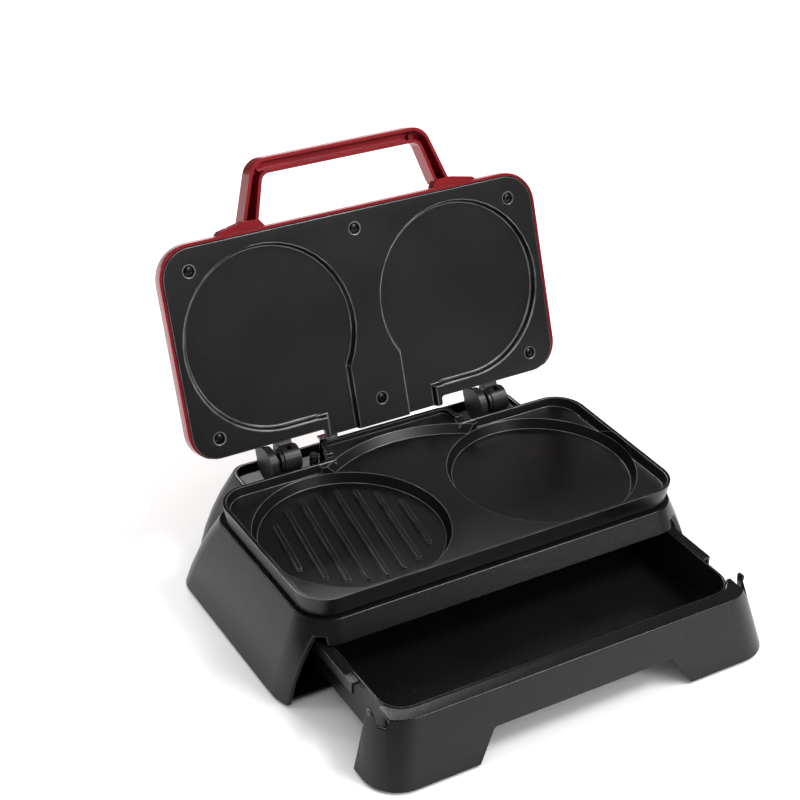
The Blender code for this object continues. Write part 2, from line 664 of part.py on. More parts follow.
def tube(name, path, parent, finish):
    curve = bpy.data.curves.new(name, "CURVE")
    curve.dimensions = "3D"
    curve.bevel_depth = TUBE_RADIUS
    curve.bevel_resolution = 2
    curve.use_fill_caps = True
    spline = curve.splines.new("POLY")
    spline.points.add(len(path) - 1)
    for point, place in zip(spline.points, path):
        point.co = (*place, 1)
    curve.materials.append(finish)
    obj = bpy.data.objects.new(name, curve)
    obj.parent = parent
    bpy.context.scene.collection.objects.link(obj)
    return obj


# Base


def shell_share(z):
    """0 at the shell's top and 1 at its bottom edge."""
    return (BASE_TOP_Z - z) / (BASE_TOP_Z - SHELL_BOTTOM_Z)


def shell_growth(z):
    """How far the flared, slightly swelling side stands outside the shell's top outline."""
    share = shell_share(z)
    return SHELL_FLARE * share + SHELL_SWELL * 4 * share * (1 - share)


def shell_section(z, inset):
    corners = [
        (-SHELL_HALF_WIDTH, -SHELL_FRONT),
        (SHELL_HALF_WIDTH, -SHELL_FRONT),
        (SHELL_HALF_WIDTH, SHELL_BACK),
        (DECK_HALF_WIDTH, SHELL_BACK),
        (DECK_HALF_WIDTH, DECK_BACK),
        (-DECK_HALF_WIDTH, DECK_BACK),
        (-DECK_HALF_WIDTH, SHELL_BACK),
        (-SHELL_HALF_WIDTH, SHELL_BACK),
    ]
    share = shell_share(z)
    main = SHELL_TOP_CORNER + (SHELL_BOTTOM_CORNER - SHELL_TOP_CORNER) * share - inset
    rear = BLOCK_TOP_CORNER + (BLOCK_BOTTOM_CORNER - BLOCK_TOP_CORNER) * share - inset
    inner = SHELL_INNER_CORNER
    back = SHELL_BACK_CORNER - inset
    radii = (main, main, back, inner, rear, rear, inner, back)
    return outline(offset_corners(corners, shell_growth(z) - inset), radii, z)


def shell_levels():
    return [BASE_TOP_Z - share * (BASE_TOP_Z - SHELL_BOTTOM_Z) for share in reversed(LEVEL_SHARES)]


def wall_inner_x(z):
    return SHELL_HALF_WIDTH + shell_growth(z) - SHELL_WALL


def base_shell(root, finish):
    shell = piece("base_shell", [[shell_section(z, 0) for z in (*shell_levels(), LIP_Z)]], root, finish)
    wide = SHELL_HALF_WIDTH + CUT
    reach = FACE_FOOT_FRONT
    cover_top = COVER_Z + COVER_THICKNESS
    plate_room = block(-wide, wide, -reach, DECK_FRONT, BASE_TOP_Z, LIP_Z + CUT)
    above_plate = tool("room_for_plate", [plate_room], root)
    deck_width = DECK_HALF_WIDTH + shell_growth(LIP_Z) - LIP_WIDTH
    deck_back = DECK_BACK + shell_growth(LIP_Z) - LIP_WIDTH
    deck_corners = rectangle(-deck_width, deck_width, SHELL_BACK, deck_back)
    deck_radius = BLOCK_TOP_CORNER - LIP_WIDTH
    deck_radii = (0, 0, deck_radius, deck_radius)
    deck = tool("deck_recess", [prism(deck_corners, deck_radii, DECK_Z, LIP_Z + CUT)], root)
    ceiling = BASE_TOP_Z - SHELL_TOP_WALL
    levels = [SHELL_BOTTOM_Z - CUT] + [z for z in shell_levels() if z < ceiling] + [ceiling]
    cavity = tool("shell_cavity", [[shell_section(z, SHELL_WALL) for z in levels]], root)
    post_rings = [(POST_RADIUS, cover_top + GAP), (POST_RADIUS, BASE_TOP_Z)]
    posts = tool(
        "cover_posts",
        [turned((x, y), post_rings, SCREW_SIDES) for _, x, y in both_sides(POST_PLACES)],
        root,
    )
    cut(cavity, posts)
    opening = tool("heater_opening", [opening_prism(0, ceiling - CUT / 2, BASE_TOP_Z + CUT)], root)
    drawer_room = tool("drawer_room", [block(-wide, wide, -reach, -SIDE_FRONT, -CUT, LINTEL_Z)], root)
    notch_z = LAND_Z - NOTCH_BELOW_LAND
    notches = tool(
        "side_notches",
        [
            block(NOTCH_HALF_WIDTH, wide, -reach, -SIDE_FRONT, LINTEL_Z - CUT / 2, notch_z),
            block(-wide, -NOTCH_HALF_WIDTH, -reach, -SIDE_FRONT, LINTEL_Z - CUT / 2, notch_z),
        ],
        root,
    )
    boss_top = LAND_Z - PLATE_BOSS_DROP - GAP
    boss_places = both_sides(((PLATE_BOSS_X, PLATE_BOSS_Y), (PLATE_BOSS_X, -PLATE_BOSS_Y)))
    boss_rings = [(PLATE_BOSS_RADIUS, BASE_TOP_Z - SHELL_TOP_WALL / 2), (PLATE_BOSS_RADIUS, boss_top)]
    bosses = tool("plate_bosses", [turned((x, y), boss_rings, SCREW_SIDES) for _, x, y in boss_places], root)
    bore = SCREW_RADIUS + GAP
    bores = tool(
        "screw_bores",
        [turned((x, y), [(bore, ceiling - CUT / 2), (bore, LAND_Z)], SCREW_SIDES) for _, x, y in boss_places]
        + [
            turned((x, y), [(bore, COVER_Z), (bore, cover_top + SCREW_GRIP + GAP)], SCREW_SIDES)
            for _, x, y in both_sides(POST_PLACES)
        ],
        root,
    )
    hole_rings = [(GLAND_RADIUS + GAP, -CUT), (GLAND_RADIUS + GAP, CUT)]
    gland_hole = tool("gland_hole", [gland_sections(hole_rings)], root)
    place_gland(gland_hole)
    cut(shell, above_plate, deck, cavity, opening, drawer_room, notches)
    join(shell, bosses)
    cut(shell, bores, gland_hole)


def opening_prism(growth, low, high):
    corners = rectangle(-OPENING_HALF_WIDTH, OPENING_HALF_WIDTH, -OPENING_FRONT, OPENING_BACK)
    radius = OPENING_CORNER + growth
    return prism(corners, (radius,) * 4, low, high, growth)


def gland_sections(rings):
    return along_y(turned((0, 0), rings, ROUND_SIDES))


def place_gland(obj):
    """Sets the gland square to the sloping rear wall, its origin on the wall's outer face."""
    low = shell_growth(GLAND_Z - GLAND_RADIUS)
    high = shell_growth(GLAND_Z + GLAND_RADIUS)
    obj.location = (GLAND_X, DECK_BACK + (low + high) / 2, GLAND_Z)
    obj.rotation_euler = (math.atan2(low - high, 2 * GLAND_RADIUS), 0, 0)


def cord_gland(root, finish):
    outside = GLAND_FLANGE + GAP
    rings = [
        (GLAND_RADIUS, -GLAND_DEPTH),
        (GLAND_RADIUS, GAP),
        (GLAND_FLANGE_RADIUS, GAP),
        (GLAND_FLANGE_RADIUS - GLAND_FLANGE / 2, outside),
    ]
    gland = piece("cord_gland", [gland_sections(rings)], root, finish)
    place_gland(gland)
    bore = tool("gland_bore", [gland_sections([(GLAND_BORE_RADIUS, -CUT), (GLAND_BORE_RADIUS, CUT)])], root)
    place_gland(bore)
    cut(gland, bore)


def bottom_cover(root, finish):
    top = COVER_Z + COVER_THICKNESS
    inset = SHELL_WALL + GAP
    sections = [shell_section(z, inset) for z in (COVER_Z, top)]
    cover = piece("bottom_cover", [sections], root, finish)
    wide = SHELL_HALF_WIDTH + CUT
    front = tool("cover_front", [block(-wide, wide, -FACE_FOOT_FRONT, -COVER_FRONT, -CUT, CUT)], root)
    bore = SCREW_RADIUS + GAP
    holes = [turned((x, y), [(bore, 0), (bore, CUT)], SCREW_SIDES) for _, x, y in both_sides(POST_PLACES)]
    for i in range(VENT_COUNT):
        x = (i - (VENT_COUNT - 1) / 2) * VENT_PITCH
        corners = rectangle(x - VENT_WIDTH / 2, x + VENT_WIDTH / 2, -VENT_LENGTH / 2, VENT_LENGTH / 2)
        holes.append(prism(corners, (VENT_CORNER,) * 4, 0, CUT, steps=SMALL_CORNER_STEPS))
    cut(cover, front, tool("cover_holes", holes, root))
    for side, x, y in both_sides(POST_PLACES):
        end = "front" if y < 0 else "rear"
        head = COVER_Z - GAP - SCREW_HEAD_HEIGHT
        screw(f"cover_screw_{end}_{side}", (x, y), head, top + SCREW_GRIP, root, FINISH["screw_black"])
    for side, x, y in both_sides(FOOT_PLACES):
        end = "front" if y < 0 else "rear"
        rings = [(FOOT_RADIUS - FOOT_TAPER, 0), (FOOT_RADIUS, COVER_Z / 2), (FOOT_RADIUS, COVER_Z - GAP)]
        piece(f"foot_{end}_{side}", [turned((x, y), rings)], root, FINISH["rubber_black"])


def drawer_guides(root, finish):
    ledge_top = DRAWER_TOP_Z - RAIL_DROP - GAP
    low = ledge_top - GUIDE_THICKNESS
    high = low + GUIDE_HEIGHT
    inner = TRAY_HALF_WIDTH + GUIDE_THICKNESS / 2
    upright = RAIL_OUTER_X + DRAWER_GAP
    profile = [
        (inner, low),
        (wall_inner_x(low) - GAP, low),
        (wall_inner_x(high) - GAP, high),
        (upright, high),
        (upright, ledge_top),
        (inner, ledge_top),
    ]
    for side, sign in (("right", 1), ("left", -1)):
        sections = [[(sign * x, y, z) for x, z in profile] for y in (-GUIDE_FRONT, GUIDE_BACK)]
        piece(f"drawer_guide_{side}", [sections], root, finish)


def heating(root):
    tube("lower_heating_element", tube_path(0, TUBE_Z, 1), root, FINISH["element_sheath"])
    for side, sign in (("right", 1), ("left", -1)):
        x = sign * PAN_CENTRE_X
        half = STRAP_LENGTH / 2
        corners = rectangle(x - half, x + half, -STRAP_WIDTH / 2, STRAP_WIDTH / 2)
        low = STRAP_TOP_Z - STRAP_THICKNESS
        bar = prism(corners, (0,) * 4, low, STRAP_TOP_Z)
        strap = piece(f"element_strap_{side}", [bar], root, FINISH["steel"])
        bore = SCREW_RADIUS + GAP
        hole = turned((x, 0), [(bore, 0), (bore, LAND_Z)], SCREW_SIDES)
        cut(strap, tool(f"strap_hole_{side}", [hole], root))
        head = low - GAP - SCREW_HEAD_HEIGHT
        screw(f"strap_screw_{side}", (x, 0), head, STRAP_TOP_Z + PLATE_SCREW_GRIP, root, FINISH["steel"])
    top = BASE_TOP_Z - GAP
    bottom = LAND_Z - LINER_BOTTOM_BELOW_LAND
    liner = piece("heat_liner", [opening_prism(-GAP, bottom, top)], root, FINISH["steel"])
    flange_top = BASE_TOP_Z - SHELL_TOP_WALL - GAP
    flange = tool("liner_flange", [opening_prism(LINER_FLANGE, flange_top - LINER_SHEET, flange_top)], root)
    join(liner, flange)
    cut(liner, tool("liner_inside", [opening_prism(-GAP - LINER_SHEET, bottom - CUT, top + CUT)], root))


def electrical(root):
    under_land = LAND_Z - PLATE_WALL - GAP
    rings = [
        (THERMOSTAT_RADIUS * THERMOSTAT_FOOT_SHARE, under_land - THERMOSTAT_HEIGHT),
        (THERMOSTAT_RADIUS, under_land - THERMOSTAT_HEIGHT / 2),
        (THERMOSTAT_RADIUS, under_land),
    ]
    piece("thermostat", [turned((0, THERMOSTAT_Y), rings)], root, FINISH["ceramic_white"])
    fuse_z = under_land - FUSE_RADIUS
    rings = [(FUSE_RADIUS, -FUSE_LENGTH / 2), (FUSE_RADIUS, FUSE_LENGTH / 2)]
    piece("thermal_fuse", [along_x(turned((FUSE_Y, fuse_z), rings, SCREW_SIDES))], root, FINISH["steel"])
    width, depth, height = TERMINAL_SIZE
    top = BASE_TOP_Z - SHELL_TOP_WALL - GAP
    sections = block(
        TERMINAL_X - width / 2,
        TERMINAL_X + width / 2,
        TERMINAL_Y - depth / 2,
        TERMINAL_Y + depth / 2,
        top - height,
        top,
    )
    piece("terminal_block", [sections], root, FINISH["ceramic_white"])


# Lower plate


def plate_corners():
    return [
        (-PLATE_HALF_WIDTH, -PLATE_FRONT),
        (PLATE_HALF_WIDTH, -PLATE_FRONT),
        (PLATE_HALF_WIDTH, PLATE_BACK),
        (BULGE_HALF_WIDTH, PLATE_BACK),
        (BULGE_HALF_WIDTH, BULGE_BACK),
        (-BULGE_HALF_WIDTH, BULGE_BACK),
        (-BULGE_HALF_WIDTH, PLATE_BACK),
        (-PLATE_HALF_WIDTH, PLATE_BACK),
    ]


def plate_section(z, growth):
    main = PLATE_CORNER + growth
    convex = BULGE_CORNER + growth
    concave = BULGE_CORNER - growth
    radii = (main, main, main, concave, convex, convex, concave, main)
    return outline(offset_corners(plate_corners(), growth), radii, z)


def arc_section(z, radius_growth):
    """A D-shaped outline whose curved side is the wall between the pans and the bulge."""
    radius = ARC_RADIUS + radius_growth
    centre_y = ARC_CREST - ARC_RADIUS
    points = []
    for step in range(ARC_STEPS + 1):
        angle = ARC_HALF_ANGLE * (1 - 2 * step / ARC_STEPS)
        points.append((radius * math.sin(angle), centre_y + radius * math.cos(angle), z))
    return points


def rib_lofts():
    lofts = []
    for i in range(RIB_COUNT):
        across = (i - (RIB_COUNT - 1) / 2) * RIB_PITCH
        half = math.sqrt(RIB_REACH**2 - across**2)
        corners = []
        ends = rectangle(across - RIB_WIDTH / 2, across + RIB_WIDTH / 2, -half, half)
        for x, y in ends:
            turned_x = x * math.cos(RIB_TURN) + y * math.sin(RIB_TURN)
            turned_y = y * math.cos(RIB_TURN) - x * math.sin(RIB_TURN)
            corners.append((turned_x - PAN_CENTRE_X, turned_y))
        radius = RIB_WIDTH / 2 - GAP / 2
        low = PAN_FLOOR_Z - RIB_HEIGHT / 2
        lofts.append(prism(corners, (radius,) * 4, low, PAN_FLOOR_Z + RIB_HEIGHT, steps=SMALL_CORNER_STEPS))
    return lofts


def lower_plate(root, finish):
    skirt_z = LAND_Z - SKIRT_DROP
    rim_z = LAND_Z + RIM_HEIGHT
    rim_top_z = LAND_Z + BULGE_RIM_HEIGHT
    wide = PLATE_HALF_WIDTH + CUT
    blank = [plate_section(skirt_z, -SKIRT_TAPER), plate_section(rim_top_z, 0)]
    plate = piece("lower_plate", [blank], root, finish)
    low_rim = tool("low_rim", [block(-wide, wide, -wide, BULGE_FOOT, rim_z, rim_top_z + CUT)], root)
    under_z = LAND_Z - PLATE_WALL
    underside = [plate_section(skirt_z - CUT, -SKIRT_WALL), plate_section(under_z, -SKIRT_WALL)]
    hollow = tool("plate_hollow", [underside], root)
    bowl_slope = (PAN_RADIUS - PAN_FLOOR_RADIUS) / PAN_DEPTH
    pans = [(-PAN_CENTRE_X, 0), (PAN_CENTRE_X, 0)]
    bowl_floor = PAN_FLOOR_RADIUS + BOWL_WALL
    bowl_top = bowl_floor + bowl_slope * (LAND_Z - BOWL_BOTTOM_Z)
    boss_places = both_sides(((PLATE_BOSS_X, PLATE_BOSS_Y), (PLATE_BOSS_X, -PLATE_BOSS_Y)))
    boss_rings = [(PLATE_BOSS_RADIUS, LAND_Z - PLATE_BOSS_DROP), (PLATE_BOSS_RADIUS, LAND_Z - PLATE_WALL / 2)]
    kept = [turned(pan, [(bowl_floor, BOWL_BOTTOM_Z - CUT), (bowl_top, LAND_Z)], PAN_SIDES) for pan in pans]
    cut(hollow, tool("bowls_in_hollow", kept, root))
    plate_bosses = [turned((x, y), boss_rings, SCREW_SIDES) for _, x, y in boss_places]
    cut(hollow, tool("bosses_in_hollow", plate_bosses, root))
    bowl_rings = [(bowl_floor, BOWL_BOTTOM_Z), (bowl_floor + bowl_slope * PLATE_WALL, PAN_FLOOR_Z)]
    bowls = tool("bowl_bottoms", [turned(pan, bowl_rings, PAN_SIDES) for pan in pans], root)
    strap_boss_top = BOWL_BOTTOM_Z + PLATE_WALL / 2
    strap_rings = [(STRAP_BOSS_RADIUS, STRAP_TOP_Z + GAP), (STRAP_BOSS_RADIUS, strap_boss_top)]
    strap_bosses = tool("strap_bosses", [turned(pan, strap_rings, SCREW_SIDES) for pan in pans], root)
    recess_corners = rectangle(-RECESS_HALF_WIDTH, RECESS_HALF_WIDTH, -RECESS_HALF_DEPTH, RECESS_HALF_DEPTH)
    recess_top = outline(
        rectangle(
            -RECESS_HALF_WIDTH - RECESS_SLOPE,
            RECESS_HALF_WIDTH + RECESS_SLOPE,
            -RECESS_HALF_DEPTH - RECESS_END_SLOPE,
            RECESS_HALF_DEPTH + RECESS_END_SLOPE,
        ),
        (RECESS_CORNER + RECESS_END_SLOPE,) * 4,
        rim_z + RIM_THICKNESS / 2,
    )
    recess = tool("land_recess", [[outline(recess_corners, (RECESS_CORNER,) * 4, LAND_Z), recess_top]], root)
    shelf_z = LAND_Z + SHELF_HEIGHT
    inner_bulge = rectangle(
        -BULGE_HALF_WIDTH + RIM_THICKNESS,
        BULGE_HALF_WIDTH - RIM_THICKNESS,
        SHELF_FRONT,
        BULGE_BACK - RIM_THICKNESS,
    )
    shelf_radius = BULGE_CORNER - RIM_THICKNESS
    shelf_radii = (0, 0, shelf_radius, shelf_radius)
    bulge_room = tool("bulge_room", [prism(inner_bulge, shelf_radii, LAND_Z, rim_top_z + CUT)], root)
    pan_rings = [(PAN_FLOOR_RADIUS, PAN_FLOOR_Z), (PAN_RADIUS, LAND_Z), (PAN_RADIUS, shelf_z + 2 * GAP)]
    pan_rooms = tool("pan_rooms", [turned(pan, pan_rings, PAN_SIDES) for pan in pans], root)
    shelf_low = PAN_FLOOR_Z + GAP
    shelf_block = block(-SHELF_HALF_WIDTH, SHELF_HALF_WIDTH, SHELF_FRONT, BULGE_BACK, shelf_low, shelf_z)
    shelf = tool("bulge_shelf", [shelf_block], root)
    arc_top = shelf_z + 2 * GAP
    arc = [arc_section(shelf_low - GAP, 0), arc_section(LAND_Z, 0), arc_section(arc_top, ARC_SLOPE)]
    cut(shelf, tool("arc_through_shelf", [arc], root), pan_rooms)
    join(recess, bulge_room, pan_rooms)
    cut(recess, shelf)
    grip = STRAP_TOP_Z + PLATE_SCREW_GRIP + GAP
    bore = SCREW_RADIUS + GAP
    plate_grip = LAND_Z - PLATE_BOSS_DROP + PLATE_SCREW_GRIP
    bores = tool(
        "plate_bores",
        [turned(pan, [(bore, STRAP_TOP_Z - CUT / 2), (bore, grip)], SCREW_SIDES) for pan in pans]
        + [turned((x, y), [(bore, BASE_TOP_Z), (bore, plate_grip)], SCREW_SIDES) for _, x, y in boss_places],
        root,
    )
    cut(plate, low_rim, hollow)
    join(plate, bowls, strap_bosses)
    cut(plate, recess, bores)
    join(plate, tool("grill_ribs", rib_lofts(), root))
    under_ring = BASE_TOP_Z - SHELL_TOP_WALL - GAP - SCREW_HEAD_HEIGHT
    for side, x, y in boss_places:
        end = "front" if y < 0 else "rear"
        screw(f"plate_screw_{end}_{side}", (x, y), under_ring, plate_grip - GAP, root, FINISH["screw_black"])


# Hinges


def hinge_brackets(root, finish):
    foot_z = DECK_Z + GAP
    wall_y, wall_z = turned_out(-LID_BACK, LID_RIM_Z)
    slope = math.tan(OPEN_ANGLE - math.pi / 2)

    def stop_z(y):
        """Height just under the open lid's rear wall, which rests on the bracket's nose."""
        return wall_z - (y - wall_y) * slope - GAP / math.cos(OPEN_ANGLE - math.pi / 2)

    profile = [
        (BRACKET_FRONT_Y, foot_z),
        (BRACKET_BACK_Y, foot_z),
        (BRACKET_TAIL_Y, stop_z(BRACKET_TAIL_Y)),
        (BRACKET_NOSE_Y, stop_z(BRACKET_NOSE_Y)),
        (HINGE_Y, HINGE_Z),
        (BRACKET_NECK_Y, HINGE_Z),
    ]
    for side, x in HINGE_CENTRES:
        body_sides = (x + BARREL_START + BRACKET_BODY_INSET, x + BARREL_END - BRACKET_BODY_INSET)
        body = [[(at, y, z) for y, z in profile] for at in body_sides]
        rings = [
            (COLLAR_RADIUS, x + COLLAR_START),
            (COLLAR_RADIUS, x + BARREL_START),
            (BARREL_RADIUS, x + BARREL_START),
            (BARREL_RADIUS, x + BARREL_END),
        ]
        barrel = along_x(turned((HINGE_Y, HINGE_Z), rings))
        bracket = piece(f"hinge_bracket_{side}", [barrel], root, finish)
        join(bracket, tool(f"bracket_body_{side}", [body], root))
        slot_x = x + BARREL_SLOT_START
        slot = block(
            slot_x,
            slot_x + BARREL_SLOT,
            HINGE_Y - PIN_RADIUS,
            HINGE_Y + PIN_RADIUS,
            HINGE_Z + BARREL_RADIUS - BARREL_SLOT_DEPTH,
            HINGE_Z + BARREL_RADIUS + CUT,
        )
        bore = PIN_RADIUS + GAP
        bore_rings = [(bore, x + COLLAR_START - CUT / 2), (bore, x + BARREL_END + CUT / 2)]
        cut(bracket, tool(f"barrel_slot_{side}", [slot], root))
        cut(bracket, tool(f"barrel_bore_{side}", [along_x(turned((HINGE_Y, HINGE_Z), bore_rings))], root))
        pin_rings = [(PIN_RADIUS, x + DISC_START + PIN_INSET), (PIN_RADIUS, x + BARREL_END - GAP)]
        piece(f"hinge_pin_{side}", [along_x(turned((HINGE_Y, HINGE_Z), pin_rings))], root, FINISH["steel"])


def hinge_arms(lid, finish):
    for side, x in HINGE_CENTRES:
        rings = [
            (DISC_RADIUS, x + DISC_START),
            (DISC_RADIUS, x + DISC_END),
            (NECK_RADIUS, x + DISC_END),
            (NECK_RADIUS, x + NECK_END),
        ]
        arm = piece(f"hinge_arm_{side}", [along_x(turned((0, 0), rings))], lid, finish)
        low = LID_BUMP_TOP_Z + GAP
        bar = block(
            x + DISC_START + GAP, x + DISC_END - GAP, ARM_FRONT, ARM_BACK, low, low + ARM_HEIGHT
        )
        join(arm, tool(f"arm_bar_{side}", [bar], lid))
        bore = PIN_RADIUS + GAP
        bore_rings = [(bore, x + DISC_START + PIN_INSET - GAP), (bore, x + NECK_END + CUT / 2)]
        cut(arm, tool(f"arm_bore_{side}", [along_x(turned((0, 0), bore_rings))], lid))


def deck_fittings(root):
    rings = []
    for i in range(SLEEVE_RINGS):
        low = DECK_Z + GAP + i * SLEEVE_RING_HEIGHT
        ring_heights = (low + SLEEVE_RING_HEIGHT * share for share in SLEEVE_RING_SHARES)
        crown_end, groove_start, groove_end = ring_heights
        rings.append((SLEEVE_RADIUS, low))
        rings.append((SLEEVE_RADIUS, crown_end))
        rings.append((SLEEVE_RADIUS - SLEEVE_GROOVE, groove_start))
        rings.append((SLEEVE_RADIUS - SLEEVE_GROOVE, groove_end))
    piece("wire_sleeve", [turned((SLEEVE_X, SLEEVE_Y), rings, SCREW_SIDES)], root, FINISH["rubber_black"])
    front = BULGE_BACK + GAP
    top = LAND_Z + TAB_ABOVE_LAND
    profile = [
        (front, DECK_Z + GAP),
        (front + TAB_SHEET, DECK_Z + GAP),
        (front + TAB_SHEET, top - TAB_SHEET),
        (front + TAB_REACH, top - TAB_SHEET),
        (front + TAB_REACH, top),
        (front, top),
    ]
    sections = [[(x, y, z) for y, z in profile] for x in (TAB_START_X, TAB_END_X)]
    piece("plate_rear_tab", [sections], root, FINISH["steel"])


# Lid


def dish_section(side, z, growth, end_y):
    """Outline of one round recess and its neck, which runs out at the hinge side."""
    radius = DISH_RADIUS + growth
    inner_x = CHANNEL_INNER_X - growth
    outer_x = CHANNEL_OUTER_X + growth
    centre_y = -HINGE_Y
    first = math.pi / 2
    last = math.tau + math.acos((PAN_CENTRE_X - inner_x) / radius)
    points = []
    for step in range(DISH_STEPS + 1):
        angle = first + (last - first) * step / DISH_STEPS
        points.append((-PAN_CENTRE_X + radius * math.cos(angle), centre_y + radius * math.sin(angle), z))
    points.append((-inner_x, end_y, z))
    points.append((-outer_x, end_y, z))
    points.append((-outer_x, centre_y + radius, z))
    if side > 0:
        points = [(-x, y, height) for x, y, height in reversed(points)]
    return points


def upper_plate(lid, finish):
    corners = [
        (-LID_PLATE_HALF_WIDTH, -LID_PLATE_FRONT),
        (LID_PLATE_HALF_WIDTH, -LID_PLATE_FRONT),
        (LID_PLATE_HALF_WIDTH, -LID_PLATE_BACK),
        (TONGUE_HALF_WIDTH, -LID_PLATE_BACK),
        (TONGUE_HALF_WIDTH, -TONGUE_END),
        (-TONGUE_HALF_WIDTH, -TONGUE_END),
        (-TONGUE_HALF_WIDTH, -LID_PLATE_BACK),
        (-LID_PLATE_HALF_WIDTH, -LID_PLATE_BACK),
    ]
    front = LID_PLATE_FRONT_CORNER
    back = LID_PLATE_BACK_CORNER
    small = TONGUE_CORNER
    radii = (front, front, back, small, small, small, small, back)
    plate = piece("upper_plate", [prism(corners, radii, LID_FACE_Z, LID_PLATE_TOP_Z)], lid, finish)
    end_y = -TONGUE_END
    bump_low = LID_FACE_Z + LID_PLATE_THICKNESS * LID_PLATE_EDGE_SHARE
    bumps = []
    dishes = []
    for side in (-1, 1):
        bumps.append(
            [
                dish_section(side, bump_low, DISH_WALL, end_y - GAP),
                dish_section(side, LID_BUMP_TOP_Z, DISH_WALL / 2, end_y - GAP),
            ]
        )
        dishes.append(
            [
                dish_section(side, LID_FACE_Z - GAP, 0, end_y + CUT / 2),
                dish_section(side, LID_FACE_Z + DISH_DEPTH, -DISH_SLOPE, end_y + CUT / 2),
            ]
        )
    sink = LID_SCREW_SINK + 2 * GAP
    hole = SCREW_RADIUS + 2 * GAP
    rings = [
        (LID_SCREW_HEAD + 2 * GAP, LID_FACE_Z - GAP),
        (hole, LID_FACE_Z + sink),
        (hole, LID_BUMP_TOP_Z + CUT),
    ]
    holes = [turned(place, rings, ROUND_SIDES) for _, place in lid_screw_places()]
    join(plate, tool("dish_backs", bumps, lid))
    cut(plate, tool("dishes", dishes, lid), tool("countersinks", holes, lid))


def lid_screw_places():
    places = []
    for side, sign in (("left", -1), ("middle", 0), ("right", 1)):
        back = LID_SCREW_BACK if sign else LID_MIDDLE_SCREW_BACK
        front = LID_SCREW_FRONT if sign else LID_MIDDLE_SCREW_FRONT
        places.append((f"lid_screw_rear_{side}", (sign * LID_SCREW_X, -back)))
        places.append((f"lid_screw_front_{side}", (sign * LID_SCREW_X, -front)))
    return places


def lid_screws(lid, finish):
    for name, place in lid_screw_places():
        low = LID_FACE_Z + GAP / 2
        rings = [
            (LID_SCREW_HEAD, low),
            (SCREW_RADIUS, low + LID_SCREW_SINK),
            (SCREW_RADIUS, low + LID_SCREW_LENGTH),
        ]
        made = piece(name, [turned(place, rings, SCREW_SIDES)], lid, finish)
        x, y = place
        long = CROSS_LENGTH / 2
        thin = CROSS_WIDTH / 2
        depth = low + CROSS_DEPTH
        arms = []
        for u, v in ((long, thin), (thin, long)):
            arms.append(block(x - u, x + u, y - v, y + v, low - CUT / 2, depth))
        first = tool(f"{name}_slot", [arms[0]], lid)
        second = tool(f"{name}_cross", [arms[1]], lid)
        cut(made, first, second)


def inner_profile(profile, wall):
    """The dome's profile moved inwards by the wall, point by point along its mean normals."""
    moved = []
    for i, (inset, z) in enumerate(profile):
        last = profile[max(i - 1, 0)]
        after = profile[min(i + 1, len(profile) - 1)]
        along = Vector((after[0] - last[0], after[1] - last[1])).normalized()
        moved.append((inset + wall * along.y, z - wall * along.x))
    return moved


def lid_section(inset, z):
    corners = rectangle(
        -LID_PLATE_HALF_WIDTH - LID_SHELL_GROWTH,
        LID_PLATE_HALF_WIDTH + LID_SHELL_GROWTH,
        -LID_FRONT,
        -LID_BACK,
    )
    front = max(LID_PLATE_FRONT_CORNER + LID_SHELL_GROWTH - inset, DOME_LEAST_CORNER)
    back = max(LID_PLATE_BACK_CORNER + LID_SHELL_GROWTH - inset, DOME_LEAST_CORNER)
    return outline(offset_corners(corners, -inset), (front, front, back, back), z)


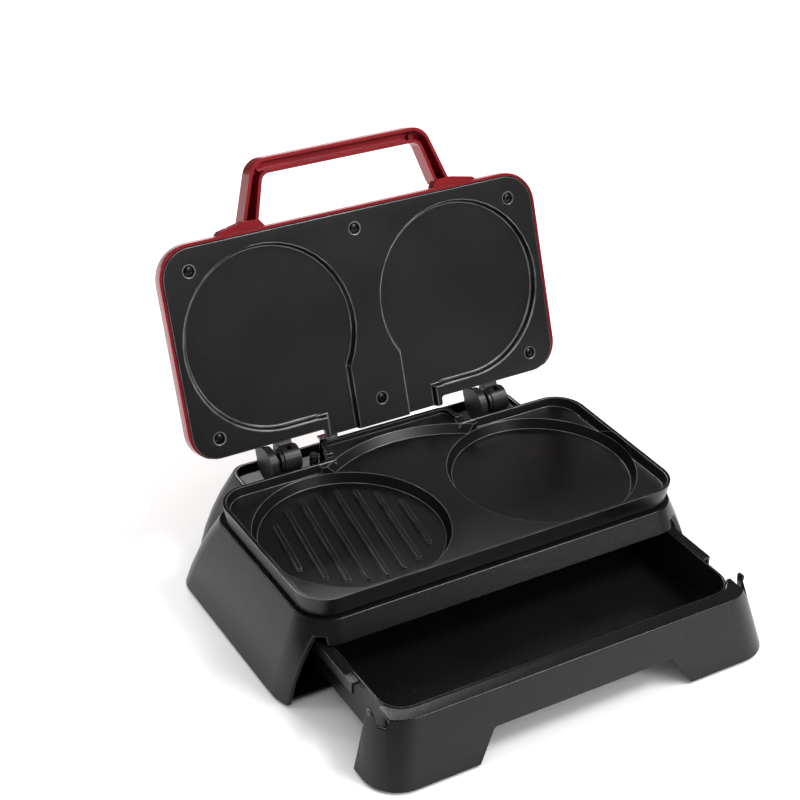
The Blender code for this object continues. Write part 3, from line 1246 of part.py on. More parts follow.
def lid_shell(lid, finish):
    outer = [(DOME[0][0], LID_RIM_Z), *DOME]
    shell = piece("lid_shell", [[lid_section(inset, z) for inset, z in outer]], lid, finish)
    inner = inner_profile(DOME, LID_WALL)
    under_boss = LID_PLATE_TOP_Z + GAP
    hollow = [(LID_WALL, LID_RIM_Z - CUT), *inner]
    cavity = tool("lid_cavity", [[lid_section(inset, z) for inset, z in hollow]], lid)
    boss = LID_BOSS_RADIUS
    roof = DOME[-1][1]
    boss_rings = [(boss, under_boss), (boss, roof)]
    bosses = [turned(place, boss_rings, SCREW_SIDES) for _, place in lid_screw_places()]
    cut(cavity, tool("lid_bosses", bosses, lid))
    bore = SCREW_RADIUS + GAP
    bore_top = LID_FACE_Z + LID_SCREW_LENGTH + GAP
    bores = [turned(place, [(bore, -CUT), (bore, bore_top)], SCREW_SIDES) for _, place in lid_screw_places()]
    slots = []
    low = LID_BUMP_TOP_Z
    for _, x in HINGE_CENTRES:
        start = x + DISC_START
        end = x + DISC_END
        slots.append(block(start, end, -ARM_SLOT_FRONT, 0, low, low + ARM_HEIGHT + 2 * GAP))
    lens = LENS_RADIUS + GAP
    lens_rings = [(lens, 0), (lens, roof + CUT)]
    holes = [turned((sign * LENS_X, LENS_Y), lens_rings, SCREW_SIDES) for sign in (-1, 1)]
    half = LID_PLATE_HALF_WIDTH
    corner = LID_PLATE_BACK_CORNER
    back = LID_PLATE_BACK
    plan = rectangle(-half, half, -back - 2 * corner, -back)
    rounded = prism(plan, (0, 0, corner, corner), LID_RIM_Z - CUT, under_boss, GAP / 2)
    straight = half - corner / 2
    start_y = -back - corner / 2
    neck_start = CHANNEL_INNER_X - DISH_WALL - GAP
    neck_end = CHANNEL_OUTER_X + DISH_WALL + GAP
    neck_top = LID_BUMP_TOP_Z + GAP
    necks = [
        block(neck_start, neck_end, start_y, 0, -CUT, neck_top),
        block(-neck_end, -neck_start, start_y, 0, -CUT, neck_top),
    ]
    handle_bores = []
    for sign in (-1, 1):
        place = (HANDLE_SCREW_Z, sign * HANDLE_SCREW_X)
        rings = [(bore, -LID_FRONT - CUT), (bore, -LID_FRONT + CUT / 2)]
        handle_bores.append(along_y(turned(place, rings, SCREW_SIDES)))
    rim_gap = tool("rim_gap", [block(-straight, straight, start_y, 0, LID_RIM_Z - CUT, under_boss)], lid)
    cut(shell, cavity, tool("plate_corner_room", [rounded], lid), rim_gap, tool("neck_gaps", necks, lid))
    cut(shell, tool("lid_bores", bores, lid), tool("arm_slots", slots, lid))
    cut(shell, tool("lens_holes", holes, lid), tool("handle_bores", handle_bores, lid))


def lamp_lenses(lid):
    roof = DOME[-1][1]
    ceiling = inner_profile(DOME, LID_WALL)[-1][1] - GAP
    for name, sign, finish in (("power_lens", -1, "lens_red"), ("ready_lens", 1, "lens_green")):
        rings = [
            (LENS_FLANGE_RADIUS, ceiling - LENS_FLANGE),
            (LENS_FLANGE_RADIUS, ceiling),
            (LENS_RADIUS, ceiling),
            (LENS_RADIUS, roof),
            (LENS_RADIUS / 2, roof + LENS_STAND),
        ]
        piece(name, [turned((sign * LENS_X, LENS_Y), rings, SCREW_SIDES)], lid, FINISH[finish])


def upper_heating(lid):
    path = tube_path(-HINGE_Y, LID_TUBE_Z, 1)
    tube("upper_heating_element", path, lid, FINISH["element_sheath"])
    low = LID_TUBE_Z + TUBE_RADIUS + REFLECTOR_ABOVE_TUBE
    corners = rectangle(-REFLECTOR_HALF_WIDTH, REFLECTOR_HALF_WIDTH, -REFLECTOR_FRONT, -REFLECTOR_BACK)
    sheet = prism(corners, (REFLECTOR_CORNER,) * 4, low, low + REFLECTOR_SHEET)
    reflector = piece("upper_reflector", [sheet], lid, FINISH["steel"])
    rings = [(REFLECTOR_LEG_RADIUS, LID_PLATE_TOP_Z + GAP), (REFLECTOR_LEG_RADIUS, low + REFLECTOR_SHEET / 2)]
    legs = [turned((0, -y), rings, SCREW_SIDES) for y in REFLECTOR_LEGS]
    join(reflector, tool("reflector_legs", legs, lid))


def handle_corners():
    outer = [
        (-HANDLE_FOOT_X, -HANDLE_FOOT_Y),
        (-HANDLE_TOP_X, -HANDLE_TOP_Y),
        (HANDLE_TOP_X, -HANDLE_TOP_Y),
        (HANDLE_FOOT_X, -HANDLE_FOOT_Y),
    ]
    inner = [
        (-LOOP_FOOT_X, -HANDLE_FOOT_Y),
        (-LOOP_TOP_X, -LOOP_TOP_Y),
        (LOOP_TOP_X, -LOOP_TOP_Y),
        (LOOP_FOOT_X, -HANDLE_FOOT_Y),
    ]
    return outer, inner


def lid_handle(lid, finish):
    outer, inner = handle_corners()
    low = LID_FACE_Z + HANDLE_SINK
    high = low + HANDLE_DEPTH
    outer_radii = (0, HANDLE_CORNER, HANDLE_CORNER, 0)
    inner_radii = (0, LOOP_CORNER, LOOP_CORNER, 0)
    handle = piece("lid_handle", [prism(outer, outer_radii, low, high)], lid, finish)
    loop = tool("handle_loop", [prism(inner, inner_radii, low - CUT, high + CUT)], lid)
    mouth_front = -HANDLE_FOOT_Y - HANDLE_WALL
    mouth_back = -HANDLE_FOOT_Y + CUT
    mouth = block(-LOOP_FOOT_X, LOOP_FOOT_X, mouth_front, mouth_back, low - CUT, high + CUT)
    open_foot = tool("loop_mouth", [mouth], lid)
    channel_outer_radii = (0, HANDLE_CORNER - HANDLE_WALL, HANDLE_CORNER - HANDLE_WALL, 0)
    floor = high - HANDLE_BACK_WALL
    channel = tool(
        "handle_channel",
        [prism(offset_corners(outer, -HANDLE_WALL), channel_outer_radii, low - CUT, floor)],
        lid,
    )
    keep_radii = (0, LOOP_CORNER + HANDLE_WALL, LOOP_CORNER + HANDLE_WALL, 0)
    keep = offset_corners(inner, HANDLE_WALL)
    cut(channel, tool("channel_island", [prism(keep, keep_radii, low - 2 * CUT, high)], lid))
    boss_rings = [
        (HANDLE_BOSS_RADIUS, floor - HANDLE_BOSS_HEIGHT),
        (HANDLE_BOSS_RADIUS, floor + HANDLE_BACK_WALL / 2),
    ]
    boss_places = both_sides(((HANDLE_BOSS_X, -HANDLE_BOSS_Y),))
    bosses = tool("handle_bosses", [turned((x, y), boss_rings, SCREW_SIDES) for _, x, y in boss_places], lid)
    foot_y = -LID_FRONT - GAP
    feet = []
    for sign in (-1, 1):
        plan = [
            (-FLANGE_OUTER_X, foot_y),
            (-FLANGE_SHOULDER_X, foot_y - FLANGE_SHOULDER),
            (-HANDLE_FOOT_X, foot_y - FLANGE_DEPTH),
            (-LOOP_FOOT_X, foot_y - FLANGE_DEPTH),
            (-FLANGE_INNER_X, foot_y),
        ]
        if sign > 0:
            plan = [(-x, y) for x, y in reversed(plan)]
        feet.append(prism(plan, (0,) * 5, LID_RIM_Z, LID_RIM_Z + FLANGE_HEIGHT))
    bores = []
    for sign in (-1, 1):
        place = (HANDLE_SCREW_Z, sign * HANDLE_SCREW_X)
        bore = SCREW_RADIUS + GAP
        bore_end = -LID_FRONT - GAP - HANDLE_SCREW_GRIP - GAP
        bores.append(along_y(turned(place, [(bore, bore_end), (bore, -LID_FRONT + CUT / 2)], SCREW_SIDES)))
        head = -LID_FRONT + LID_WALL + GAP + SCREW_HEAD_HEIGHT
        side = "left" if sign < 0 else "right"
        tip = -LID_FRONT - GAP - HANDLE_SCREW_GRIP
        name = f"handle_screw_{side}"
        screw(name, place, head, tip, lid, FINISH["steel"], along_y, HANDLE_SCREW_HEAD_RADIUS)
    cut(handle, loop, open_foot, channel)
    join(handle, bosses, tool("handle_feet", feet, lid))
    cut(handle, tool("handle_foot_bores", bores, lid))


# Drawer


def face_section(z, inset):
    """Outline of the drawer's front at one height: it leans out and widens towards the table."""
    share = (DRAWER_TOP_Z - z) / (DRAWER_TOP_Z - SHELL_BOTTOM_Z)
    half = FACE_TOP_HALF_WIDTH + (FACE_FOOT_HALF_WIDTH - FACE_TOP_HALF_WIDTH) * share - inset
    front = FACE_TOP_FRONT + (FACE_FOOT_FRONT - FACE_TOP_FRONT) * share - inset
    back = FACE_BACK - CUT - inset
    radius = FACE_CORNER - inset
    return outline(rectangle(-half, half, -front, -back), (radius, radius, 0, 0), z)


def tray_prism(growth, low, high):
    corners = rectangle(-TRAY_HALF_WIDTH, TRAY_HALF_WIDTH, -TRAY_FRONT, -TRAY_BACK)
    front = TRAY_FRONT_CORNER + growth
    back = TRAY_BACK_CORNER + growth
    return prism(corners, (front, front, back, back), low, high, growth)


def drawer_front(drawer, finish):
    panel = [face_section(z, 0) for z in (SHELL_BOTTOM_Z, DRAWER_TOP_Z)]
    face = piece("drawer_front", [panel], drawer, finish)
    wide = FACE_FOOT_HALF_WIDTH + CUT
    behind = tool("room_behind_face", [block(-wide, wide, -FACE_BACK, 0, -CUT, DRAWER_TOP_Z + CUT)], drawer)
    ceiling = DRAWER_TOP_Z - FLANGE_PLATE
    inside = [face_section(z, FACE_WALL) for z in (SHELL_BOTTOM_Z - CUT, ceiling)]
    hollow = tool("face_hollow", [inside], drawer)
    boss_rings = [(FACE_BOSS_RADIUS, -FACE_FOOT_FRONT), (FACE_BOSS_RADIUS, -TRAY_FRONT + GAP)]
    places = [(FACE_SCREW_Z, sign * FACE_SCREW_X) for sign in (-1, 1)]
    face_bosses = [along_y(turned(place, boss_rings, SCREW_SIDES)) for place in places]
    cut(hollow, tool("face_bosses", face_bosses, drawer))
    slope = (ARCH_FOOT_HALF_WIDTH - ARCH_TOP_HALF_WIDTH) / (ARCH_TOP_Z - SHELL_BOTTOM_Z)
    ground_half_width = ARCH_FOOT_HALF_WIDTH + slope * SHELL_BOTTOM_Z
    arch = [
        Vector((-ground_half_width, 0)),
        Vector((ground_half_width, 0)),
        Vector((ARCH_TOP_HALF_WIDTH, ARCH_TOP_Z)),
        Vector((-ARCH_TOP_HALF_WIDTH, ARCH_TOP_Z)),
    ]
    arch_sections = []
    for y in (-FACE_BACK + CUT, -FACE_FOOT_FRONT - CUT):
        flat = outline(arch, (0, 0, ARCH_CORNER, ARCH_CORNER), 0)
        arch_sections.append([(x, y, z) for x, z, _ in flat])
    tray_room = tool("tray_room", [tray_prism(GAP, TRAY_BOTTOM_Z - GAP, DRAWER_TOP_Z + CUT)], drawer)
    pockets = []
    ears = []
    for sign in (-1, 1):
        low_x, high_x = sorted((sign * POCKET_START_X, sign * POCKET_END_X))
        pocket_front = -FACE_BACK - POCKET_LENGTH
        pocket_low = DRAWER_TOP_Z - POCKET_DEPTH
        pockets.append(
            block(low_x, high_x, pocket_front, -FACE_BACK + CUT, pocket_low, DRAWER_TOP_Z + CUT)
        )
        low_x, high_x = sorted((sign * POCKET_END_X, sign * FACE_TOP_HALF_WIDTH))
        ear_low = DRAWER_TOP_Z - FLANGE_PLATE / 2
        ears.append(
            block(low_x, high_x, -FACE_BACK - EAR_LENGTH, -FACE_BACK, ear_low, DRAWER_TOP_Z + EAR_HEIGHT)
        )
    bore = SCREW_RADIUS + GAP
    tip = -TRAY_FRONT - SCREW_GRIP / 2
    bore_rings = [(bore, tip - GAP), (bore, -FACE_BACK)]
    bores = tool("face_bores", [along_y(turned(place, bore_rings, SCREW_SIDES)) for place in places], drawer)
    cut(face, behind, hollow, tool("face_arch", [arch_sections], drawer), tray_room, bores)
    join(face, tool("face_ears", ears, drawer))
    cut(face, tool("face_pockets", pockets, drawer))
    for sign, place in zip(("left", "right"), places):
        head = -TRAY_FRONT + TRAY_WALL + GAP + SCREW_HEAD_HEIGHT
        screw(f"drawer_screw_{sign}", place, head, tip, drawer, FINISH["screw_black"], along_y)


def drawer_tray(drawer, finish):
    tray = piece("drawer_tray", [tray_prism(0, TRAY_BOTTOM_Z, DRAWER_TOP_Z)], drawer, finish)
    floor = TRAY_BOTTOM_Z + TRAY_WALL
    inside = tool("tray_inside", [tray_prism(-TRAY_WALL, floor, DRAWER_TOP_Z + CUT)], drawer)
    bore = SCREW_RADIUS + GAP
    rings = [(bore, -TRAY_FRONT - CUT), (bore, -TRAY_FRONT + CUT)]
    holes = [along_y(turned((FACE_SCREW_Z, sign * FACE_SCREW_X), rings, SCREW_SIDES)) for sign in (-1, 1)]
    cut(tray, inside, tool("tray_holes", holes, drawer))


def drawer_rails(drawer, finish):
    inner = TRAY_HALF_WIDTH + GAP
    top = DRAWER_TOP_Z
    profile = [
        (inner, top),
        (inner, top - RAIL_SHEET),
        (RAIL_OUTER_X - RAIL_SHEET, top - RAIL_SHEET),
        (RAIL_OUTER_X - RAIL_SHEET, top - RAIL_DROP),
        (RAIL_OUTER_X, top - RAIL_DROP),
        (RAIL_OUTER_X, top),
    ]
    for side, sign in (("right", 1), ("left", -1)):
        rail_ends = (-RAIL_FRONT, -TRAY_BACK - TRAY_BACK_CORNER)
        sections = [[(sign * x, y, z) for x, z in profile] for y in rail_ends]
        piece(f"drawer_rail_{side}", [sections], drawer, finish)


clear_scene()
FINISH = {name: make_finish(name) for name in FINISHES}
appliance = make_empty("breakfast_maker", (0, -MIDDLE_Y, 0))
lid_hinge = make_empty("lid_hinge_line", (0, HINGE_Y, HINGE_Z), appliance, -OPEN_ANGLE)
drawer_slide = make_empty("drawer_slide", (0, 0, 0), appliance)

base_shell(appliance, FINISH["shell_black"])
bottom_cover(appliance, FINISH["shell_black"])
drawer_guides(appliance, FINISH["shell_black"])
cord_gland(appliance, FINISH["rubber_black"])
heating(appliance)
electrical(appliance)
lower_plate(appliance, FINISH["plate_coating"])
hinge_brackets(appliance, FINISH["hinge_black"])
deck_fittings(appliance)

upper_plate(lid_hinge, FINISH["plate_coating"])
lid_screws(lid_hinge, FINISH["screw_black"])
lid_shell(lid_hinge, FINISH["lid_red"])
lamp_lenses(lid_hinge)
upper_heating(lid_hinge)
lid_handle(lid_hinge, FINISH["lid_red"])
hinge_arms(lid_hinge, FINISH["hinge_black"])

drawer_front(drawer_slide, FINISH["shell_black"])
drawer_tray(drawer_slide, FINISH["shell_black"])
drawer_rails(drawer_slide, FINISH["shell_black"])
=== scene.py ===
# %% [markdown]
# # Breakfast maker
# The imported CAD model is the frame: every piece below keeps its place and rides on one of its three
# bodies (base, lid, drawer). This cell only loads it and notes which body carries each node.

# %% Load the frame
import json
import math

import bmesh
import bpy
from mathutils import Matrix, Vector

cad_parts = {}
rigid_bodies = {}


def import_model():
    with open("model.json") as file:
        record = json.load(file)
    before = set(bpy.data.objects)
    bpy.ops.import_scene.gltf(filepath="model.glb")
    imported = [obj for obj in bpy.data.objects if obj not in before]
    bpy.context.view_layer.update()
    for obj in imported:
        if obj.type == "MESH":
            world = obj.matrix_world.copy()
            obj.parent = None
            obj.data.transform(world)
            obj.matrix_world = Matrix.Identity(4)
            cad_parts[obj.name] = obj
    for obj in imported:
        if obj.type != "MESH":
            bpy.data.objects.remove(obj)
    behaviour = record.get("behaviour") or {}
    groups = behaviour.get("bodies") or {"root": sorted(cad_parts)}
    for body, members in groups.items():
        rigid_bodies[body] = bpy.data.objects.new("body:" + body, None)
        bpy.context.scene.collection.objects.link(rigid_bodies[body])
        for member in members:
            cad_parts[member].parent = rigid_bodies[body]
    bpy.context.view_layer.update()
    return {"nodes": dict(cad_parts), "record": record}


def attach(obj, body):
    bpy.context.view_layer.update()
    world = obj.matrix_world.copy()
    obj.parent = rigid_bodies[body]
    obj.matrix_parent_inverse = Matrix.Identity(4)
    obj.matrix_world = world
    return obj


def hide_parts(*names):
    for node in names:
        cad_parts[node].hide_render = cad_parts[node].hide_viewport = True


MM = 0.001

for leftover in list(bpy.data.objects):
    bpy.data.objects.remove(leftover, do_unlink=True)

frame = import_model()
NODES = frame["nodes"]
BODIES = frame["record"]["behaviour"]["bodies"]
BODY_OF = {node: body for body, nodes in BODIES.items() for node in nodes}
FINISH_OF = {node: obj.data.materials[0].name.split(".")[0] for node, obj in NODES.items()}


def in_scene(name, data):
    """A new object with this data, linked to the scene."""
    made = bpy.data.objects.new(name, data)
    bpy.context.scene.collection.objects.link(made)
    return made


print("finishes", sorted(set(FINISH_OF.values())))

# %% [markdown]
# ## Camera
# A camera looks along its own -Z axis. The photograph's vanishing points give the direction it was
# taken from, so three unit vectors (right, up, back) become the columns of the camera's matrix.

# %% Camera
AZIMUTH, ELEVATION, ROLL = math.radians(-30.79), math.radians(30.9), math.radians(1.33)
DISTANCE = 1.1383
TARGET = Vector((-0.04002, 0.00166, 0.15435))
LENS = 81.1

level = math.cos(ELEVATION)
back = Vector((math.sin(AZIMUTH) * level, -math.cos(AZIMUTH) * level, math.sin(ELEVATION)))
right = Vector((math.cos(AZIMUTH), math.sin(AZIMUTH), 0))
up = back.cross(right)
rolled_right = right * math.cos(ROLL) + up * math.sin(ROLL)
rolled_up = up * math.cos(ROLL) - right * math.sin(ROLL)
camera_data = bpy.data.cameras.new("camera")
camera_data.lens = LENS
camera = in_scene("camera", camera_data)
turn = Matrix((rolled_right, rolled_up, back)).transposed().to_4x4()
camera.matrix_world = Matrix.Translation(TARGET + back * DISTANCE) @ turn
bpy.context.scene.camera = camera
print("camera at", [round(v, 3) for v in camera.matrix_world.translation])

# %% [markdown]
# ## Lights and floor
# Large area lights give the long soft highlights that make black plastic readable. The world looks
# white to the camera and lights the floor, but it is dim to reflections, so black stays black and
# mostly the lights show in it. The floor ends where the lights' pool does, so that low views show
# only its faint far edge and no grey horizon.

# %% Lights and floor
# Each light's place, size in metres, watts and the point that it faces.
LIGHTS = {
    "key_light": ((0.75, -0.55, 1.45), (0.7, 0.25), 15, (0, 0, 0.1)),
    "front_light": ((0.80, -1.55, 1.3), (0.9, 0.25), 12, (0, 0, 0.2)),
    "low_light": ((0.95, -1.6, 0.13), (0.35, 0.12), 0.6, (0, -0.1, 0.05)),
    "side_light": ((-1.1, 0.7, 1.4), (0.3, 0.8), 3, (0, 0, 0.1)),
    "back_light": ((0.1, 1.5, 1.4), (1.3, 0.25), 20, (0, 0, 0.1)),
}
LIGHTING_GLOW, REFLECTED_GLOW, BACKDROP_GLOW = 0.8, 0.05, 1.0
FLOOR_REACH = 1.8


def softbox(name, place, size, watts, aim):
    light = bpy.data.lights.new(name, "AREA")
    light.shape = "RECTANGLE"
    light.size, light.size_y = size
    light.energy = watts
    lamp = in_scene(name, light)
    lamp.location = place
    lamp.rotation_euler = (Vector(aim) - Vector(place)).to_track_quat("-Z", "Y").to_euler()


for name, settings in LIGHTS.items():
    softbox(name, *settings)

world = bpy.data.worlds.new("studio")
world.use_nodes = True
bpy.context.scene.world = world
bpy.context.scene.view_settings.view_transform = "Standard"
world_tree = world.node_tree
world_tree.nodes.remove(world_tree.nodes["Background"])
ray = world_tree.nodes.new("ShaderNodeLightPath")


def glow(strength):
    white = world_tree.nodes.new("ShaderNodeBackground")
    white.inputs["Color"].default_value = (1, 1, 1, 1)
    white.inputs["Strength"].default_value = strength
    return white


def by_ray(kind, otherwise, then):
    """The shader `then` for this kind of ray, and `otherwise` for every other."""
    choice = world_tree.nodes.new("ShaderNodeMixShader")
    world_tree.links.new(ray.outputs[kind], choice.inputs[0])
    world_tree.links.new(otherwise.outputs[0], choice.inputs[1])
    world_tree.links.new(then.outputs[0], choice.inputs[2])
    return choice


lit = by_ray("Is Glossy Ray", glow(LIGHTING_GLOW), glow(REFLECTED_GLOW))
seen = by_ray("Is Camera Ray", lit, glow(BACKDROP_GLOW))
world_tree.links.new(seen.outputs[0], world_tree.nodes["World Output"].inputs["Surface"])

floor_mesh = bpy.data.meshes.new("floor")
floor_corners = [(x * FLOOR_REACH, y * FLOOR_REACH, 0) for x, y in ((-1, -1), (1, -1), (1, 1), (-1, 1))]
floor_mesh.from_pydata(floor_corners, [], [(0, 1, 2, 3)])
floor = in_scene("floor", floor_mesh)
print("lights", sorted(LIGHTS))

# %% [markdown]
# ## Arithmetic with shader sockets
# A node tree is easier to read as a formula. `Value` wraps an output socket and overloads the
# operators, so `grain * 0.5 + 0.2` adds two Math nodes and links them. `Net` is one material's tree.

# %% Shader arithmetic


class Value:
    """An output socket that can be added, subtracted, multiplied and mixed."""

    def __init__(self, net, socket):
        self.net, self.socket = net, socket

    def math(self, operation, other, swapped=False):
        first, second = (other, self) if swapped else (self, other)
        return self.net.node("ShaderNodeMath", {0: first, 1: second}, operation=operation)

    def __add__(self, other):
        return self.math("ADD", other)

    def __radd__(self, other):
        return self.math("ADD", other, swapped=True)

    def __sub__(self, other):
        return self.math("SUBTRACT", other)

    def __rsub__(self, other):
        return self.math("SUBTRACT", other, swapped=True)

    def __mul__(self, other):
        return self.math("MULTIPLY", other)

    def __rmul__(self, other):
        return self.math("MULTIPLY", other, swapped=True)

    def over(self, low, high):
        """The value as a share of the way from low to high, held between 0 and 1."""
        ranged = {"Value": self, "From Min": low, "From Max": high}
        return self.net.node("ShaderNodeMapRange", ranged, clamp=True)

    def mix(self, colour_a, colour_b):
        """colour_a where the value is 0 and colour_b where it is 1."""
        mixed = {0: self, 6: colour_a, 7: colour_b}
        return self.net.node("ShaderNodeMix", mixed, output=2, data_type="RGBA")


class Net:
    """One material's node tree."""

    def __init__(self, name):
        self.material = bpy.data.materials.new(name)
        self.material.use_nodes = True
        self.tree = self.material.node_tree
        self.shader = self.tree.nodes["Principled BSDF"]

    def feed(self, socket, value):
        """Links a Value to the socket, or sets a plain number, vector or colour."""
        if isinstance(value, Value):
            self.tree.links.new(value.socket, socket)
        elif isinstance(value, tuple) and len(value) == 3 and socket.type == "RGBA":
            socket.default_value = (*value, 1)
        else:
            socket.default_value = value

    def node(self, kind, inputs=None, output=0, **settings):
        """Adds a node: its settings first, then its sockets, and gives back one of its outputs."""
        made = self.tree.nodes.new(kind)
        for key, setting in settings.items():
            setattr(made, key, setting)
        for key, value in (inputs or {}).items():
            self.feed(made.inputs[key], value)
        return Value(self, made.outputs[output])

    def place(self, stretch=(1, 1, 1)):
        """Object coordinates in metres, stretched along the axes for brushed or moulded streaks."""
        spot = self.node("ShaderNodeTexCoord", output="Object")
        return self.node("ShaderNodeMapping", {"Vector": spot, "Scale": stretch})

    def noise(self, per_metre, detail=2, stretch=(1, 1, 1)):
        fed = {"Vector": self.place(stretch), "Scale": per_metre, "Detail": detail}
        return self.node("ShaderNodeTexNoise", fed)

    def edges(self):
        """1 on the faces of bevels and beads, 0 elsewhere: the layer that bevelled and swept write."""
        return self.node("ShaderNodeAttribute", output="Fac", attribute_name="edge")

    def relief(self, height, distance):
        """A bump this many metres deep, fed to the shader's normal."""
        bump = self.node("ShaderNodeBump", {"Height": height, "Distance": distance, "Strength": 1.0})
        self.feed(self.shader.inputs["Normal"], bump)

    def surface(self, **values):
        """Feeds the Principled shader's sockets, named in small letters with underscores."""
        for key, value in values.items():
            self.feed(self.shader.inputs[key.replace("_", " ").title().replace("Ior", "IOR")], value)
        return self.material


# %% [markdown]
# ## Finishes
# Each finish layers the same three things at its own scale: a slow drift over the whole piece, a
# grain that is only seen close by, and rubbed edges; on the plate coating the lighter edges are
# wear and a painted highlight. The grain also feeds the bump. A noise's scale counts its features
# per metre, so 1500 is a grain of two thirds of a millimetre.

# %% Plastics and coatings
FLECKS_PER_METRE = 900.0
FLAKES_PER_METRE = 3200.0


def moulded_plastic(name, colour, rubbed, roughness, grain_depth):
    """Satin moulded plastic with a spark-eroded grain and slightly polished edges."""
    net = Net(name)
    drift = net.noise(18, detail=3)
    grain = net.noise(1500, detail=1)
    smear = net.noise(55, detail=4, stretch=(1, 1, 3)).over(0.35, 0.75)
    worn = net.edges() * net.noise(90, detail=3).over(0.35, 0.7)
    base = drift.over(0.3, 0.7).mix(colour, tuple(c * 1.35 for c in colour))
    net.relief(grain, grain_depth)
    return net.surface(
        base_color=(worn * 0.35).mix(base, rubbed),
        roughness=roughness + 0.025 * smear + 0.06 * (grain - 0.5) - 0.08 * worn,
        specular_ior_level=0.38,
    )


def plate_coating(name):
    """Black non-stick coating, with pale flecks under 1 mm across and the orange peel of a spray."""
    net = Net(name)
    flecks = net.node("ShaderNodeTexVoronoi", {"Vector": net.place(), "Scale": FLECKS_PER_METRE})
    bright = (1 - flecks.over(0.0, 0.22)) * net.noise(420, detail=2).over(0.54, 0.64)
    peel = net.noise(480, detail=2)
    drift = net.noise(14, detail=3).over(0.3, 0.7)
    # worn: patches of the bevels and beads, which are wear and painted highlight at once.
    worn = net.edges() * net.noise(70, detail=3).over(0.3, 0.65)
    base = drift.mix((0.0045, 0.0045, 0.0048), (0.0065, 0.0065, 0.007))
    flecked = (bright * 0.4).mix(base, (0.13, 0.13, 0.135))
    net.relief(peel * 0.7 + bright * 0.3, 0.06 * MM)
    return net.surface(
        # Painted highlight: every bevel and bead is painted 0.2 of the way to pale grey, and patches of
        # them up to 0.7. This stands in for the light on the coating's rims, and the patches are also
        # wear.
        base_color=(0.2 * net.edges() + worn * 0.5).mix(flecked, (0.24, 0.24, 0.245)),
        roughness=0.30 + 0.06 * drift + 0.1 * (peel - 0.5) - 0.08 * net.edges(),
        metallic=0.2,
    )


def red_lacquer(name):
    """Metallic lacquer: flakes a third of a millimetre across under a clear coat."""
    net = Net(name)
    cells = {"Vector": net.place(), "Scale": FLAKES_PER_METRE}
    flakes = net.node("ShaderNodeTexVoronoi", cells, output="Color")
    sparkle = net.node("ShaderNodeSeparateColor", {"Color": flakes})
    drift = net.noise(20, detail=2).over(0.3, 0.7)
    peel = net.noise(260, detail=1)
    worn = net.edges() * net.noise(80, detail=3).over(0.5, 0.7)
    base = drift.mix((0.17, 0.002, 0.006), (0.23, 0.004, 0.009))
    flaked = (sparkle * 0.35).mix(base, (0.50, 0.02, 0.03))
    net.relief(peel, 0.02 * MM)
    return net.surface(
        base_color=(worn * 0.3).mix(flaked, (0.45, 0.06, 0.07)),
        roughness=0.30 + 0.14 * sparkle,
        metallic=0.6,
        coat_weight=0.4,
        coat_roughness=0.06,
    )


# %% [markdown]
# Metals get their look from streaks: noise that is stretched along one axis reads as brushing. The
# small parts (rubber, ceramic, lenses) need little more than the right roughness.

# %% Metals and small parts


def brushed_metal(name, colour, dull, roughness, soot=0.0):
    """Bare metal, brushed along X, with stains that soot darkens."""
    net = Net(name)
    brushing = net.noise(160, detail=5, stretch=(1, 14, 14))
    stains = net.noise(45, detail=4).over(0.45, 0.75)
    worn = net.edges() * net.noise(110, detail=3).over(0.3, 0.6)
    streaked = brushing.over(0.3, 0.7).mix(dull, colour)
    stained = (stains * soot).mix(streaked, (0.05, 0.035, 0.025))
    net.relief(brushing, 0.02 * MM)
    return net.surface(
        base_color=(worn * 0.4).mix(stained, tuple(min(1, c * 1.4) for c in colour)),
        roughness=roughness + 0.14 * (brushing - 0.5) + 0.1 * stains,
        metallic=1.0,
    )


def plain_body(name, colour, other, roughness, grain_scale, grain_depth, **more):
    """Rubber, ceramic or a lens: two close colours in patches, and a grain."""
    net = Net(name)
    grain = net.noise(grain_scale, detail=3)
    patches = net.noise(60, detail=3).over(0.35, 0.7)
    net.relief(grain, grain_depth)
    rough = roughness + 0.12 * (grain - 0.5)
    return net.surface(base_color=patches.mix(colour, other), roughness=rough, **more)


def studio_floor(name):
    """White paper with a hardly visible cloudiness."""
    net = Net(name)
    paper = net.noise(9, detail=5)
    base = paper.over(0.3, 0.7).mix((0.90, 0.90, 0.90), (0.915, 0.915, 0.915))
    return net.surface(base_color=base, roughness=0.9 + 0.05 * (paper - 0.5))


FINISHES = {
    "shell_black": moulded_plastic(
        "shell_black", (0.0045, 0.0045, 0.0048), (0.03, 0.03, 0.032), 0.27, grain_depth=0.03 * MM
    ),
    "hinge_black": moulded_plastic(
        "hinge_black", (0.010, 0.010, 0.0105), (0.05, 0.05, 0.052), 0.34, grain_depth=0.05 * MM
    ),
    "plate_coating": plate_coating("plate_coating"),
    "lid_red": red_lacquer("lid_red"),
    "screw_black": brushed_metal("screw_black", (0.05, 0.05, 0.052), (0.02, 0.02, 0.021), 0.34),
    "steel": brushed_metal("steel", (0.56, 0.56, 0.57), (0.40, 0.40, 0.41), 0.26),
    "element_sheath": brushed_metal(
        "element_sheath", (0.20, 0.19, 0.18), (0.10, 0.10, 0.10), 0.42, soot=0.6
    ),
    "rubber_black": plain_body(
        "rubber_black",
        (0.02, 0.02, 0.02),
        (0.032, 0.031, 0.03),
        0.78,
        grain_scale=800,
        grain_depth=0.08 * MM,
    ),
    "ceramic_white": plain_body(
        "ceramic_white",
        (0.78, 0.76, 0.71),
        (0.70, 0.68, 0.62),
        0.5,
        grain_scale=900,
        grain_depth=0.04 * MM,
    ),
}
for lens, colour, other in (
    ("lens_red", (0.55, 0.015, 0.015), (0.42, 0.01, 0.012)),
    ("lens_green", (0.02, 0.40, 0.07), (0.015, 0.3, 0.05)),
):
    FINISHES[lens] = plain_body(
        lens, colour, other, 0.12, grain_scale=300, grain_depth=0.01 * MM, coat_weight=1.0
    )
floor_mesh.materials.append(studio_floor("floor_white"))
print("materials", len(FINISHES))

